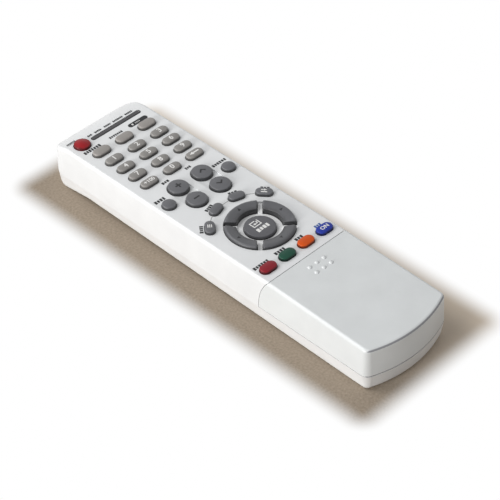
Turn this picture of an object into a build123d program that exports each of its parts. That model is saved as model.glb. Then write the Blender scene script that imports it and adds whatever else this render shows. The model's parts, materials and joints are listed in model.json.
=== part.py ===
from build123d import *
import os
from collections import namedtuple
from math import acos, cos, degrees, radians, sin, sqrt

# A television remote control with a sliding cover over its second keypad, in millimetres.
# The origin is under the middle of the case, on the surface that it lies on. +Y points to
# the infrared end, +X to the right of somebody who reads the keys, and +Z out of the keys.

# Outer shape of the case
LENGTH = 216.0
WIDTH = 52.4
PARTING_HEIGHT = 9.0
TAIL_RADIUS = 63.0
HEAD_RADIUS = 110.0
TAIL_CORNER = 4.0
HEAD_CORNER = 10.0
SMALLEST_CORNER = 0.8
SHORTEST_RIM = 0.4
UPPER_DRAFT = 2.5
LOWER_DRAFT = 8.0
TOP_EDGE_RADIUS = 1.6
BOTTOM_EDGE_RADIUS = 3.0

# Side view: the nose falls away in an arc, the cover slopes down, and the underside is arched
NOSE_REACH = 17.0
NOSE_RADIUS = 22.0
TAIL_DROP = 1.8
ARCH_HEIGHT = 2.4
TAIL_FOOT = 18.0
HEAD_FOOT = 11.0
ARCH_CREST = 28.0
ARCH_BLEND_RADIUS = 40.0
PROFILE_MARGIN = 3.0

# Walls of the two shells, and the tongue that locates one in the other
SIDE_WALL = 2.2
TOP_WALL = 2.0
TAIL_WALL = 1.8
SEAM_WALL = 1.9
LOWER_FLOOR = 4.4
TONGUE_HEIGHT = 1.5
TONGUE_WALL = 1.0
TONGUE_GAP = 0.15

# Slide cover
COVER_WALL = 1.8
COVER_GAP = 0.3
SEAM_BELOW_RING = 13.0
SEAM_GAP = 0.25
SEAM_BULGE = 5.2
SEAM_MIDDLE_BULGE = 3.8
SEAM_MIDDLE_DROP = 6.5
CATCH_LENGTH = 7.0
CATCH_HEIGHT = 1.1
CATCH_PROUD = 0.8
CATCH_ABOVE_LEDGE = 1.4
GROOVE_GAP = 0.35
BUMP_RADIUS = 1.15
BUMP_HEIGHT = 0.45
BUMP_PITCH_X = 4.6
BUMP_PITCH_Y = 4.4
BUMPS_FROM_SEAM = 8.2

# Sunk panel under the cover
PANEL_DEPTH = 2.2
PANEL_WALL = 1.5
PANEL_RIM = 1.7
PANEL_SETBACK = 2.4
PANEL_LENGTH = 52.0
PANEL_CORNER = 1.5

# Keys: a cap through the wall, a flange under it, and a plunger over the mat
KEY_GAP = 0.25
KEY_RISE = 2.0
LOWER_KEY_RISE = 1.1
KEY_TRAVEL = 0.8
KEY_CHAMFER = 0.5
ROUND_KEY_CROWN = 0.4
FLANGE_EDGE = 0.7
FLANGE_THICKNESS = 0.8
FLANGE_GAP = 0.1
POCKET_GAP = 0.2
PLUNGER_SIZE = 3.0
PRESSED_GAP = 0.15

# Layout of the key face: rows are measured from the ring's upper or lower edge
RING_FROM_TAIL = 95.5
COLUMN_PITCH = 14.6
ROW_PITCH = 8.2
NUMBERS_ABOVE_RING = 66.5
WIDE_ROW_ABOVE_RING = 75.5
NUMBER_KEY_LENGTH = 9.9
NUMBER_KEY_WIDTH = 5.1
WIDE_KEY_LENGTH = 9.9
WIDE_KEY_WIDTH = 5.5
POWER_RADIUS = 4.2
POWER_X = -17.5
POWER_ABOVE_RING = 86.3
ROCKER_RADIUS = 5.2
ROCKER_X = 7.6
ROCKER_ABOVE_RING = 17.0
ROCKER_PITCH = 12.5
ROCKER_DISH_EDGE = 0.5
ROCKER_DISH_DEPTH = 0.5
SMALL_ROUND_RADIUS = 3.5
SMALL_ROUND_X = 19.2
SMALL_ROUND_ABOVE_RING = 23.4
ARC_ROW_FROM_RING = 6.2
ARC_ROW_END_X = 17.6
ARC_KEY_LENGTH = 8.4
ARC_KEY_WIDTH = 4.8
COLOUR_ROW_BELOW_RING = 6.4
COLOUR_PITCH = 12.1
COLOUR_KEY_LENGTH = 9.0
COLOUR_KEY_WIDTH = 5.4
LOWER_FIRST_ROW_FROM_SEAM = 7.7
LOWER_PITCH_X = 10.4
LOWER_PITCH_Y = 7.65
LOWER_LAST_STEP = 10.5
LOWER_KEY_LENGTH = 6.6
LOWER_KEY_WIDTH = 3.9

# Ring of four keys round the dish of the enter key
RING_OUTER_RADIUS = 16.8
RING_INNER_RADIUS = 10.9
RING_SPLIT = 2.6
RING_OUTER_RISE = 1.9
RING_INNER_RISE = 0.9
RING_CHAMFER = 0.8
BRIDGE_DROP = 1.0
BRIDGE_LAP = 1.5
DISH_DEPTH = 2.0
DISH_FLOOR = 1.6
ENTER_RADIUS = 7.6
ENTER_RISE = 2.2

# Mode light strip and infrared window
LIGHT_LENGTH = 30.1
LIGHT_WIDTH = 1.6
LIGHT_X = 4.35
LIGHT_ABOVE_RING = 86.6
LIGHT_FLANGE = 0.8
WINDOW_WIDTH = 24.0
WINDOW_HEIGHT = 6.5
WINDOW_THICKNESS = 1.6
WINDOW_ABOVE_PARTING = 1.2
WINDOW_REACH = 8.0
LENS_GAP = 0.1

# Mat, circuit board and what is soldered under it
MAT_THICKNESS = 1.2
BOARD_THICKNESS = 1.6
BOARD_EDGE_GAP = 0.8
BOARD_OVER_BAY = 0.75
EMITTER_RADIUS = 2.5
EMITTER_LENGTH = 6.0
EMITTER_SETBACK = 1.2
EMITTER_FOOT = 1.5
CHIP_SIZE = 10.0
CHIP_THICKNESS = 1.4
CHIP_ABOVE_RING = 38.2
CAPACITOR_RADIUS = 2.5
CAPACITOR_LENGTH = 6.0
CAPACITOR_X = 8.0
CAPACITOR_ABOVE_RING = 8.2
POST_SIZE = 4.4
POST_RIB = 1.2
POST_GAP = 0.1
POST_X = 17.0
POSTS_FROM_RING = (-72.0, -20.0, 30.0, 85.0)

# Battery bay under the tail: two cells side by side, and the door that closes it
CELL_RADIUS = 5.2
CELL_LENGTH = 43.3
NUB_RADIUS = 1.9
NUB_LENGTH = 1.2
CELL_GAP = 0.3
LEAF_DEPTH = 3.0
CONTACT_THICKNESS = 0.4
CONTACT_WIDTH = 7.0
CONTACT_GAP = 0.1
TAB_WIDTH = 3.0
TAB_GAP = 0.2
BAY_WALL = 1.2
BAY_FROM_TAIL = 17.0
DOOR_HEIGHT = 2.6
DOOR_LAP = 2.0
DOOR_GAP = 0.15
DOOR_CORNER = 2.0
HOOK_WIDTH = 4.0
HOOK_REACH = 1.2
HOOK_THICKNESS = 1.0
HOOK_HEIGHT = 1.0
HOOK_X = 7.0
HOOK_GAP = 0.25
THUMB_SLOT_LENGTH = 12.0
THUMB_SLOT_WIDTH = 0.9
THUMB_SLOT_DEPTH = 0.5
THUMB_SLOT_PITCH = 2.0
THUMB_SLOTS = 3

# Heights, worked up from the battery door to the key face
cell_height = DOOR_HEIGHT + CELL_GAP + CELL_RADIUS
bay_ceiling = cell_height + CELL_RADIUS + CELL_GAP
board_under = bay_ceiling + BAY_WALL + BOARD_OVER_BAY
mat_under = board_under + BOARD_THICKNESS
mat_top = mat_under + MAT_THICKNESS
plunger_foot = mat_top + KEY_TRAVEL + PRESSED_GAP
panel_under = plunger_foot + FLANGE_THICKNESS + FLANGE_GAP
panel_top = panel_under + PANEL_WALL
face_height = panel_top + PANEL_DEPTH + COVER_GAP + COVER_WALL
face_under = face_height - TOP_WALL
dish_floor = face_height - DISH_DEPTH

# Places along the case
tail_y = -LENGTH / 2
head_y = LENGTH / 2
ring_y = tail_y + RING_FROM_TAIL
ring_top_y = ring_y + RING_OUTER_RADIUS
ring_foot_y = ring_y - RING_OUTER_RADIUS
seam_y = ring_foot_y - SEAM_BELOW_RING
covered_inset = COVER_WALL + COVER_GAP
tail_inset = covered_inset + TAIL_WALL
wide_cavity_start = seam_y + SEAM_BULGE + SEAM_WALL
bay_start = tail_y + BAY_FROM_TAIL
bay_length = 2 * CONTACT_THICKNESS + LEAF_DEPTH + CELL_LENGTH + NUB_LENGTH + 2 * CONTACT_GAP
bay_end = bay_start + bay_length
cell_x = CELL_RADIUS + CELL_GAP / 2
bay_half = cell_x + CELL_RADIUS + CELL_GAP
door_start = bay_start - DOOR_LAP
door_end = bay_end + DOOR_LAP
door_half = bay_half + DOOR_LAP
big = LENGTH + WIDTH

# A key's outline and place: a round one has the same length and width
KeySpot = namedtuple("KeySpot", "name x y length width turn")


def list_top_keys():
    """Return the spots of the keys of the key face, without the ring and the enter key."""
    round_power = 2 * POWER_RADIUS
    round_rocker = 2 * ROCKER_RADIUS
    round_small = 2 * SMALL_ROUND_RADIUS
    rocker_down = ring_top_y + ROCKER_ABOVE_RING
    rocker_up = rocker_down + ROCKER_PITCH
    small_y = ring_top_y + SMALL_ROUND_ABOVE_RING
    arc_row_radius = RING_OUTER_RADIUS + ARC_ROW_FROM_RING
    first_angle = degrees(acos(ARC_ROW_END_X / arc_row_radius))
    spots = [
        KeySpot("key_power", POWER_X, ring_top_y + POWER_ABOVE_RING, round_power, round_power, 0),
        KeySpot("key_volume_up", -ROCKER_X, rocker_up, round_rocker, round_rocker, 0),
        KeySpot("key_volume_down", -ROCKER_X, rocker_down, round_rocker, round_rocker, 0),
        KeySpot("key_channel_up", ROCKER_X, rocker_up, round_rocker, round_rocker, 0),
        KeySpot("key_channel_down", ROCKER_X, rocker_down, round_rocker, round_rocker, 0),
        KeySpot("key_mute", -SMALL_ROUND_X, small_y, round_small, round_small, 0),
        KeySpot("key_source", SMALL_ROUND_X, small_y, round_small, round_small, 0),
    ]
    wide_names = ("input", "timer", "picture_size")
    number_names = ("1", "2", "3", "4", "5", "6", "7", "8", "9", "hundred", "0", "previous")
    wide_size = (WIDE_KEY_LENGTH, WIDE_KEY_WIDTH)
    size = (NUMBER_KEY_LENGTH, NUMBER_KEY_WIDTH)
    for column, name in enumerate(wide_names):
        x = (column - 1) * COLUMN_PITCH
        spots.append(KeySpot("key_" + name, x, ring_top_y + WIDE_ROW_ABOVE_RING, *wide_size, 0))
    for place, name in enumerate(number_names):
        row, column = divmod(place, 3)
        x = (column - 1) * COLUMN_PITCH
        y = ring_top_y + NUMBERS_ABOVE_RING - row * ROW_PITCH
        spots.append(KeySpot("key_" + name, x, y, *size, 0))
    for place, name in enumerate(("exit", "info", "guide", "menu")):
        angle = first_angle + place * (180 - 2 * first_angle) / 3
        x = arc_row_radius * cos(radians(angle))
        y = ring_y + arc_row_radius * sin(radians(angle))
        spots.append(KeySpot("key_" + name, x, y, ARC_KEY_LENGTH, ARC_KEY_WIDTH, angle - 90))
    return spots


def list_colour_keys():
    """Return the spots of the four colour keys beside the seam."""
    y = ring_foot_y - COLOUR_ROW_BELOW_RING
    spots = []
    for column, name in enumerate(("red", "green", "orange", "blue")):
        x = (column - 1.5) * COLOUR_PITCH
        spots.append(KeySpot("key_" + name, x, y, COLOUR_KEY_LENGTH, COLOUR_KEY_WIDTH, 0))
    return spots


def list_lower_keys():
    """Return the spots of the sixteen keys under the cover, row by row."""
    names = (
        ("audio", "caption", "zoom", "search_up"),
        ("device", "disc_menu", "eject", "search_down"),
        ("rewind", "stop", "play", "forward"),
        ("record", "pause", "skip_back", "skip_forward"),
    )
    spots = []
    for row, row_names in enumerate(names):
        y = seam_y - LOWER_FIRST_ROW_FROM_SEAM - row * LOWER_PITCH_Y
        if row == len(names) - 1:
            y = y + LOWER_PITCH_Y - LOWER_LAST_STEP
        for column, name in enumerate(row_names):
            x = (column - 1.5) * LOWER_PITCH_X
            size = (LOWER_KEY_LENGTH, LOWER_KEY_WIDTH)
            spots.append(KeySpot("key_" + name, x, y, *size, 0))
    return spots


top_keys = list_top_keys()
colour_keys = list_colour_keys()
lower_keys = list_lower_keys()


def draw_cap(spot, gap):
    """Draw a key's outline into the open sketch, grown by a gap."""
    with Locations((spot.x, spot.y)):
        if spot.length == spot.width:
            Circle(spot.length / 2 + gap)
        else:
            SlotOverall(spot.length + 2 * gap, spot.width + 2 * gap, rotation=spot.turn)


def draw_flange(spot, gap):
    """Draw a key's flange: wider than a round cap all round, or than a long one on two sides."""
    with Locations((spot.x, spot.y)):
        width = spot.width + 2 * FLANGE_EDGE + 2 * gap
        if spot.length == spot.width:
            Circle(width / 2)
        else:
            Rectangle(spot.length + 2 * gap, width, rotation=spot.turn)


def draw_case(inset):
    """Return the case's outline seen from above, drawn in by inset on every side."""
    half = WIDTH / 2 - inset
    tail_arc = TAIL_RADIUS - inset
    head_arc = HEAD_RADIUS - inset
    tail_corner_y = tail_y + TAIL_RADIUS - sqrt(tail_arc**2 - half**2)
    head_corner_y = head_y - HEAD_RADIUS + sqrt(head_arc**2 - half**2)
    with BuildSketch() as outline:
        with BuildLine():
            ThreePointArc((-half, tail_corner_y), (0, tail_y + inset), (half, tail_corner_y))
            Line((half, tail_corner_y), (half, head_corner_y))
            ThreePointArc((half, head_corner_y), (0, head_y - inset), (-half, head_corner_y))
            Line((-half, head_corner_y), (-half, tail_corner_y))
        make_face()
        head_corners = outline.vertices().group_by(Axis.Y)[-1]
        fillet(head_corners, max(HEAD_CORNER - inset, SMALLEST_CORNER))
        tail_corners = outline.vertices().group_by(Axis.Y)[0]
        fillet(tail_corners, max(TAIL_CORNER - inset, SMALLEST_CORNER))
    return outline.sketch


def draw_top_profile(drop):
    """Return the side view below the key face, the nose arc and the sloping cover."""
    top = face_height - drop
    head_end = head_y + PROFILE_MARGIN
    tail_end = tail_y - PROFILE_MARGIN
    nose = head_y - NOSE_REACH
    nose_arc = NOSE_RADIUS - drop
    nose_end = top - nose_arc + sqrt(nose_arc**2 - (NOSE_REACH + PROFILE_MARGIN - drop) ** 2)
    slope_end = top - TAIL_DROP * (seam_y - tail_end) / (seam_y - tail_y)
    with BuildSketch(Plane.YZ) as profile:
        with BuildLine():
            Polyline((tail_end, slope_end), (tail_end, 0), (head_end - drop, 0))
            Line((head_end - drop, 0), (head_end - drop, nose_end))
            TangentArc((nose, top), (head_end - drop, nose_end), tangent=(1, 0))
            Polyline((nose, top), (seam_y, top), (tail_end, slope_end))
        make_face()
    return profile.sketch


def make_upper_form(inset, drop, edge_radius):
    """Return the body above the parting plane, drawn in at its sides and lowered on top."""
    outline = draw_case(inset)
    profile = draw_top_profile(drop)
    with BuildPart() as form:
        with BuildSketch(Plane.XY.offset(PARTING_HEIGHT)):
            add(outline)
        extrude(amount=face_height - PARTING_HEIGHT, taper=UPPER_DRAFT)
        add(extrude(profile, amount=big, both=True, mode=Mode.PRIVATE), mode=Mode.INTERSECT)
        if edge_radius > 0:
            above = PARTING_HEIGHT + edge_radius
            rim = form.edges().filter_by(lambda edge: edge.bounding_box().min.Z > above)
            long_rim = rim.filter_by(lambda edge: edge.bounding_box().size.Y > SHORTEST_RIM)
            fillet(long_rim, edge_radius)
    return form.part


def draw_seam(shift):
    """Return the side view of all that lies on the tail side of the seam, moved by shift."""
    top = face_height
    seam = seam_y + shift
    with BuildSketch(Plane.YZ) as region:
        with BuildLine():
            middle = (seam + SEAM_MIDDLE_BULGE, top - SEAM_MIDDLE_DROP)
            foot = (seam + SEAM_BULGE, PARTING_HEIGHT)
            ThreePointArc((seam, top), middle, foot)
            Polyline(foot, (foot[0], 0), (tail_y - big, 0), (tail_y - big, top + big))
            Polyline((tail_y - big, top + big), (seam, top + big), (seam, top))
        make_face()
    return region.sketch


full_form = make_upper_form(0, 0, TOP_EDGE_RADIUS)
covered_form = make_upper_form(covered_inset, covered_inset, 0)
cover_inside = make_upper_form(COVER_WALL, COVER_WALL, 0)


def make_cavity():
    """Return the upper case's inside: wide and high under the keys, narrow under the cover."""
    wide = make_upper_form(SIDE_WALL, TOP_WALL, 0)
    narrow = make_upper_form(tail_inset, TOP_WALL, 0)
    with BuildPart() as cavity:
        add(wide)
        with BuildSketch(Plane.XY):
            with Locations((0, wide_cavity_start)):
                Rectangle(big, big, align=(Align.CENTER, Align.MIN))
        extrude(amount=big, mode=Mode.INTERSECT)
        add(narrow)
        with BuildSketch(Plane.XY.offset(panel_under)):
            with Locations((0, seam_y + SEAM_WALL)):
                Rectangle(big, big, align=(Align.CENTER, Align.MAX))
        extrude(amount=big, mode=Mode.SUBTRACT)
    return cavity.part


def draw_bridges():
    """Draw the four bridges between the ring keys, with a lap under the case's face."""
    with Locations((0, ring_y)):
        for turn in (45, -45):
            length = 2 * (RING_OUTER_RADIUS + BRIDGE_LAP)
            Rectangle(length, RING_SPLIT - 2 * KEY_GAP, rotation=turn)


def make_dish_plate():
    """Return the plate that carries the enter key inside the ring, and its four bridges."""
    with BuildPart() as plate:
        with BuildSketch(Plane.XY.offset(dish_floor - DISH_FLOOR)):
            with Locations((0, ring_y)):
                Circle(RING_INNER_RADIUS - KEY_GAP)
            draw_bridges()
        extrude(amount=face_height - dish_floor + DISH_FLOOR)
    return plate.part


def make_ring_cut():
    """Return what is cut for the ring keys, the dish and the enter key, less four bridges."""
    under = dish_floor - DISH_FLOOR
    slot_inner = RING_INNER_RADIUS - KEY_GAP
    slot_outer = RING_OUTER_RADIUS + KEY_GAP
    with BuildSketch() as bridges:
        draw_bridges()
    with BuildPart() as cut:
        with BuildSketch(Plane.XY.offset(under)):
            with Locations((0, ring_y)):
                Circle(slot_outer)
                Circle(slot_inner, mode=Mode.SUBTRACT)
            add(bridges.sketch, mode=Mode.SUBTRACT)
        extrude(amount=big)
        with BuildSketch(Plane.XY.offset(face_height - BRIDGE_DROP)):
            with Locations((0, ring_y)):
                Circle(slot_outer)
        extrude(amount=big)
        with BuildSketch(Plane.XY.offset(dish_floor)):
            with Locations((0, ring_y)):
                Circle(slot_inner)
        extrude(amount=big)
        with BuildSketch(Plane.XY.offset(under)):
            with Locations((0, ring_y)):
                Circle(ENTER_RADIUS + KEY_GAP)
        extrude(amount=face_height - under)
    return cut.part


def draw_light(gap):
    """Draw the mode light's outline into the open sketch, grown by a gap."""
    with Locations((LIGHT_X, ring_top_y + LIGHT_ABOVE_RING)):
        Rectangle(LIGHT_LENGTH + 2 * gap, LIGHT_WIDTH + 2 * gap)


def make_key_cut():
    """Return the holes of all plain keys, and pockets for the flanges near walls or the nose."""
    pocket_floor = face_under - FLANGE_GAP - FLANGE_THICKNESS - KEY_TRAVEL - POCKET_GAP
    with BuildPart() as cut:
        with BuildSketch(Plane.XY.offset(panel_under)):
            for spot in top_keys + colour_keys + lower_keys:
                draw_cap(spot, KEY_GAP)
        extrude(amount=big)
        with BuildSketch(Plane.XY.offset(pocket_floor)):
            for spot in colour_keys + [spot for spot in top_keys if abs(spot.x) > COLUMN_PITCH]:
                draw_flange(spot, POCKET_GAP)
            draw_light(LIGHT_FLANGE + LENS_GAP)
        extrude(amount=face_under - pocket_floor)
        with BuildSketch(Plane.XY.offset(face_height - ROCKER_DISH_DEPTH)):
            for x in (-ROCKER_X, ROCKER_X):
                with Locations((x, ring_top_y + ROCKER_ABOVE_RING + ROCKER_PITCH / 2)):
                    width = 2 * (ROCKER_RADIUS + ROCKER_DISH_EDGE)
                    SlotOverall(width + ROCKER_PITCH, width, rotation=90)
        extrude(amount=big)
    return cut.part


def make_groove_cut():
    """Return the two side grooves that the cover's catches run in, open at the tail."""
    depth = CATCH_PROUD - COVER_GAP + GROOVE_GAP
    groove_x = WIDTH / 2 - covered_inset - depth
    with BuildPart() as cut:
        with BuildSketch(Plane.XY.offset(PARTING_HEIGHT + CATCH_ABOVE_LEDGE - GROOVE_GAP)):
            for side in (-1, 1):
                with Locations((side * (groove_x + WIDTH / 2), seam_y)):
                    Rectangle(WIDTH, LENGTH, align=(Align.CENTER, Align.MAX))
        extrude(amount=CATCH_HEIGHT + 2 * GROOVE_GAP)
    return cut.part


def make_window_block(gap):
    """Return the block that gives the infrared window its outline, grown by a gap."""
    with BuildPart() as block:
        with BuildSketch(Plane.XY.offset(PARTING_HEIGHT + WINDOW_ABOVE_PARTING - gap)):
            with Locations((0, head_y - WINDOW_REACH)):
                Rectangle(WINDOW_WIDTH + 2 * gap, big, align=(Align.CENTER, Align.MIN))
        extrude(amount=WINDOW_HEIGHT + 2 * gap)
    return block.part


cavity = make_cavity()
dish_plate = make_dish_plate()
ring_cut = make_ring_cut()
key_cut = make_key_cut()
groove_cut = make_groove_cut()
window_cut = make_window_block(LENS_GAP)
tail_side = extrude(draw_seam(0), amount=big, both=True)

# Upper case: the full form at the head, and the covered form on the tail side of the seam
with BuildPart() as upper_case:
    add(full_form)
    add(tail_side, mode=Mode.SUBTRACT)
    add(covered_form)
    with BuildSketch(Plane.XY.offset(panel_top)) as panel:
        with Locations((0, seam_y - PANEL_SETBACK)):
            panel_width = WIDTH - 2 * covered_inset - 2 * PANEL_RIM
            Rectangle(panel_width, PANEL_LENGTH, align=(Align.CENTER, Align.MAX))
        fillet(panel.vertices(), PANEL_CORNER)
    extrude(amount=big, mode=Mode.SUBTRACT)
    add(cavity, mode=Mode.SUBTRACT)
    add(dish_plate)
    add(ring_cut, mode=Mode.SUBTRACT)
    add(key_cut, mode=Mode.SUBTRACT)
    add(groove_cut, mode=Mode.SUBTRACT)
    add(window_cut, mode=Mode.SUBTRACT)
    with BuildSketch(Plane.XY.offset(panel_under)):
        draw_light(LENS_GAP)
    extrude(amount=big, mode=Mode.SUBTRACT)
upper_case.part.label = "upper_case"

# Slide cover: a cap over the tail's top, sides and end
cover_region = extrude(draw_seam(-SEAM_GAP), amount=big, both=True)
with BuildPart() as slide_cover:
    add(full_form)
    add(cover_region, mode=Mode.INTERSECT)
    for row in (-1, 1):
        row_from_seam = BUMPS_FROM_SEAM + row * BUMP_PITCH_Y / 2
        cover_top = face_height - TAIL_DROP * row_from_seam / (seam_y - tail_y)
        ball_radius = (BUMP_RADIUS**2 + BUMP_HEIGHT**2) / (2 * BUMP_HEIGHT)
        with Locations((0, seam_y - row_from_seam, cover_top + BUMP_HEIGHT - ball_radius)):
            with GridLocations(BUMP_PITCH_X, 1, 3, 1):
                Sphere(ball_radius)
    add(cover_inside, mode=Mode.SUBTRACT)
    with BuildSketch(Plane.XY):
        Rectangle(2 * big, 2 * big)
    extrude(amount=PARTING_HEIGHT + COVER_GAP, mode=Mode.SUBTRACT)
    catch_centre = WIDTH / 2 - COVER_WALL
    with BuildSketch(Plane.XY.offset(PARTING_HEIGHT + CATCH_ABOVE_LEDGE)):
        for side in (-1, 1):
            with Locations((side * catch_centre, seam_y - GROOVE_GAP)):
                Rectangle(2 * CATCH_PROUD, CATCH_LENGTH, align=(Align.CENTER, Align.MAX))
    extrude(amount=CATCH_HEIGHT)
slide_cover.part.label = "slide_cover"


def draw_inside(gap):
    """Return the outline of the case's inside at the parting plane, drawn in by a gap."""
    wide = draw_case(SIDE_WALL + gap)
    narrow = draw_case(tail_inset + gap)
    with BuildSketch() as inside:
        add(wide)
        with Locations((0, wide_cavity_start + gap)):
            Rectangle(big, big, align=(Align.CENTER, Align.MIN), mode=Mode.INTERSECT)
        add(narrow)
    return inside.sketch


def make_lower_form():
    """Return the body below the parting plane: two feet with a shallow arch between them."""
    outline = draw_case(0)
    tail_end = tail_y - PROFILE_MARGIN
    head_end = head_y + PROFILE_MARGIN
    with BuildSketch(Plane.YZ) as profile:
        with BuildLine():
            Polyline((head_end, 0), (head_end, PARTING_HEIGHT), (tail_end, PARTING_HEIGHT))
            Polyline((tail_end, PARTING_HEIGHT), (tail_end, 0), (tail_y + TAIL_FOOT, 0))
            Line((tail_y + TAIL_FOOT, 0), (head_y - ARCH_CREST, ARCH_HEIGHT))
            Line((head_y - ARCH_CREST, ARCH_HEIGHT), (head_y - HEAD_FOOT, 0))
            Line((head_y - HEAD_FOOT, 0), (head_end, 0))
        make_face()
        bends = profile.vertices().filter_by_position(Axis.X, tail_y, head_y)
        fillet(bends, ARCH_BLEND_RADIUS)
    arched = extrude(profile.sketch, amount=big, both=True)
    with BuildPart() as form:
        with BuildSketch(Plane.XY.offset(PARTING_HEIGHT)):
            add(outline)
        extrude(amount=-PARTING_HEIGHT, taper=LOWER_DRAFT)
        add(arched, mode=Mode.INTERSECT)
        below = PARTING_HEIGHT - BOTTOM_EDGE_RADIUS
        rim = form.edges().filter_by(lambda edge: edge.bounding_box().max.Z < below)
        long_rim = rim.filter_by(lambda edge: edge.bounding_box().size.Y > SHORTEST_RIM)
        fillet(long_rim, BOTTOM_EDGE_RADIUS)
    return form.part


def make_tray_space():
    """Return the hollow of the lower case."""
    inside = draw_inside(TONGUE_GAP + TONGUE_WALL)
    with BuildPart() as space:
        with BuildSketch(Plane.XY.offset(PARTING_HEIGHT)):
            add(inside)
        extrude(amount=LOWER_FLOOR - PARTING_HEIGHT, taper=LOWER_DRAFT)
    return space.part


def draw_door(gap):
    """Draw the battery door's outline into the open sketch, grown by a gap."""
    with Locations((0, (door_start + door_end) / 2)):
        length = door_end - door_start + 2 * gap
        RectangleRounded(2 * (door_half + gap), length, DOOR_CORNER + gap)


def draw_hooks(gap):
    """Draw the door's two hooks into the open sketch, grown by a gap."""
    for side in (-1, 1):
        with Locations((side * HOOK_X, door_start + DOOR_CORNER)):
            reach = HOOK_REACH + DOOR_CORNER + gap
            Rectangle(HOOK_WIDTH + 2 * gap, reach, align=(Align.CENTER, Align.MAX))


lower_form = make_lower_form()
tray_space = make_tray_space()
tongue_outside = draw_inside(TONGUE_GAP)
tongue_inside = draw_inside(TONGUE_GAP + TONGUE_WALL)

# Lower case: a tray with the tongue, the posts of the board and the battery bay
with BuildPart() as lower_case:
    add(lower_form)
    add(tray_space, mode=Mode.SUBTRACT)
    with BuildSketch(Plane.XY.offset(PARTING_HEIGHT)):
        add(tongue_outside)
        add(tongue_inside, mode=Mode.SUBTRACT)
    extrude(amount=TONGUE_HEIGHT)
    with BuildSketch(Plane.XY.offset(DOOR_HEIGHT)):
        with Locations((0, (bay_start + bay_end) / 2)):
            Rectangle(2 * (bay_half + BAY_WALL), bay_length + 2 * BAY_WALL)
    extrude(amount=bay_ceiling + BAY_WALL - DOOR_HEIGHT)
    with BuildSketch(Plane.XY):
        with Locations((0, (bay_start + bay_end) / 2)):
            Rectangle(2 * bay_half, bay_length)
    extrude(amount=bay_ceiling, mode=Mode.SUBTRACT)
    with BuildSketch(Plane.XY):
        draw_door(DOOR_GAP)
    extrude(amount=DOOR_HEIGHT + DOOR_GAP, mode=Mode.SUBTRACT)
    with BuildSketch(Plane.XY.offset(HOOK_HEIGHT - HOOK_GAP)):
        draw_hooks(HOOK_GAP)
    extrude(amount=DOOR_HEIGHT + DOOR_GAP - HOOK_HEIGHT + HOOK_GAP, mode=Mode.SUBTRACT)
    with BuildSketch(Plane.XY.offset(bay_ceiling)):
        for side in (-1, 1):
            with Locations((side * cell_x, bay_end)):
                slot_length = CONTACT_GAP + CONTACT_THICKNESS + TAB_GAP
                Rectangle(TAB_WIDTH + 2 * TAB_GAP, slot_length, align=(Align.CENTER, Align.MAX))
    extrude(amount=BAY_WALL, mode=Mode.SUBTRACT)
    with BuildSketch(Plane.XY.offset(LOWER_FLOOR)):
        for reach in POSTS_FROM_RING:
            with Locations((-POST_X, ring_y + reach), (POST_X, ring_y + reach)):
                Rectangle(POST_SIZE, POST_RIB)
                Rectangle(POST_RIB, POST_SIZE)
    extrude(amount=board_under - POST_GAP - LOWER_FLOOR)
lower_case.part.label = "lower_case"

thumb_slots_y = door_end - THUMB_SLOTS * THUMB_SLOT_PITCH
arch_slope = ARCH_HEIGHT / (LENGTH - ARCH_CREST - TAIL_FOOT)
arch_at_slots = arch_slope * (thumb_slots_y - tail_y - TAIL_FOOT)

# Battery door: a lid with two hooks at its tail end and slots for the thumb
with BuildPart() as battery_door:
    add(lower_form)
    with BuildSketch(Plane.XY):
        draw_door(0)
    extrude(amount=DOOR_HEIGHT, mode=Mode.INTERSECT)
    with BuildSketch(Plane.XY.offset(HOOK_HEIGHT)):
        draw_hooks(0)
    extrude(amount=HOOK_THICKNESS)
    with BuildSketch(Plane.XY):
        with Locations((0, thumb_slots_y)):
            with GridLocations(1, THUMB_SLOT_PITCH, 1, THUMB_SLOTS):
                Rectangle(THUMB_SLOT_LENGTH, THUMB_SLOT_WIDTH)
    extrude(amount=arch_at_slots + THUMB_SLOT_DEPTH, mode=Mode.SUBTRACT)
battery_door.part.label = "battery_door"

board_outline = draw_case(tail_inset + BOARD_EDGE_GAP)

# Keypad mat: one sheet of silicone under every plunger
with BuildPart() as keypad_mat:
    with BuildSketch(Plane.XY.offset(mat_under)):
        add(board_outline)
    extrude(amount=MAT_THICKNESS)
keypad_mat.part.label = "keypad_mat"

# Circuit board: the infrared emitter at its head, and a chip and a capacitor underneath
with BuildPart() as circuit_board:
    with BuildSketch(Plane.XY.offset(board_under)):
        add(board_outline)
    extrude(amount=BOARD_THICKNESS)
    emitter_tip = head_y - SIDE_WALL - EMITTER_SETBACK
    emitter_base = emitter_tip - EMITTER_LENGTH
    with BuildSketch(Plane.XZ.offset(-emitter_base)):
        with Locations((0, board_under - EMITTER_RADIUS)):
            Circle(EMITTER_RADIUS)
    extrude(amount=EMITTER_RADIUS - EMITTER_LENGTH)
    with Locations((0, emitter_tip - EMITTER_RADIUS, board_under - EMITTER_RADIUS)):
        Sphere(EMITTER_RADIUS)
    with BuildSketch(Plane.XY.offset(board_under)):
        with Locations((0, emitter_base)):
            Rectangle(2 * EMITTER_RADIUS, 2 * EMITTER_FOOT)
        with Locations((0, ring_top_y + CHIP_ABOVE_RING)):
            Rectangle(CHIP_SIZE, CHIP_SIZE)
    extrude(amount=-CHIP_THICKNESS)
    with BuildSketch(Plane.XY.offset(board_under)):
        with Locations((CAPACITOR_X, ring_top_y + CAPACITOR_ABOVE_RING)):
            Circle(CAPACITOR_RADIUS)
    extrude(amount=-CAPACITOR_LENGTH)
circuit_board.part.label = "circuit_board"

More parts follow.
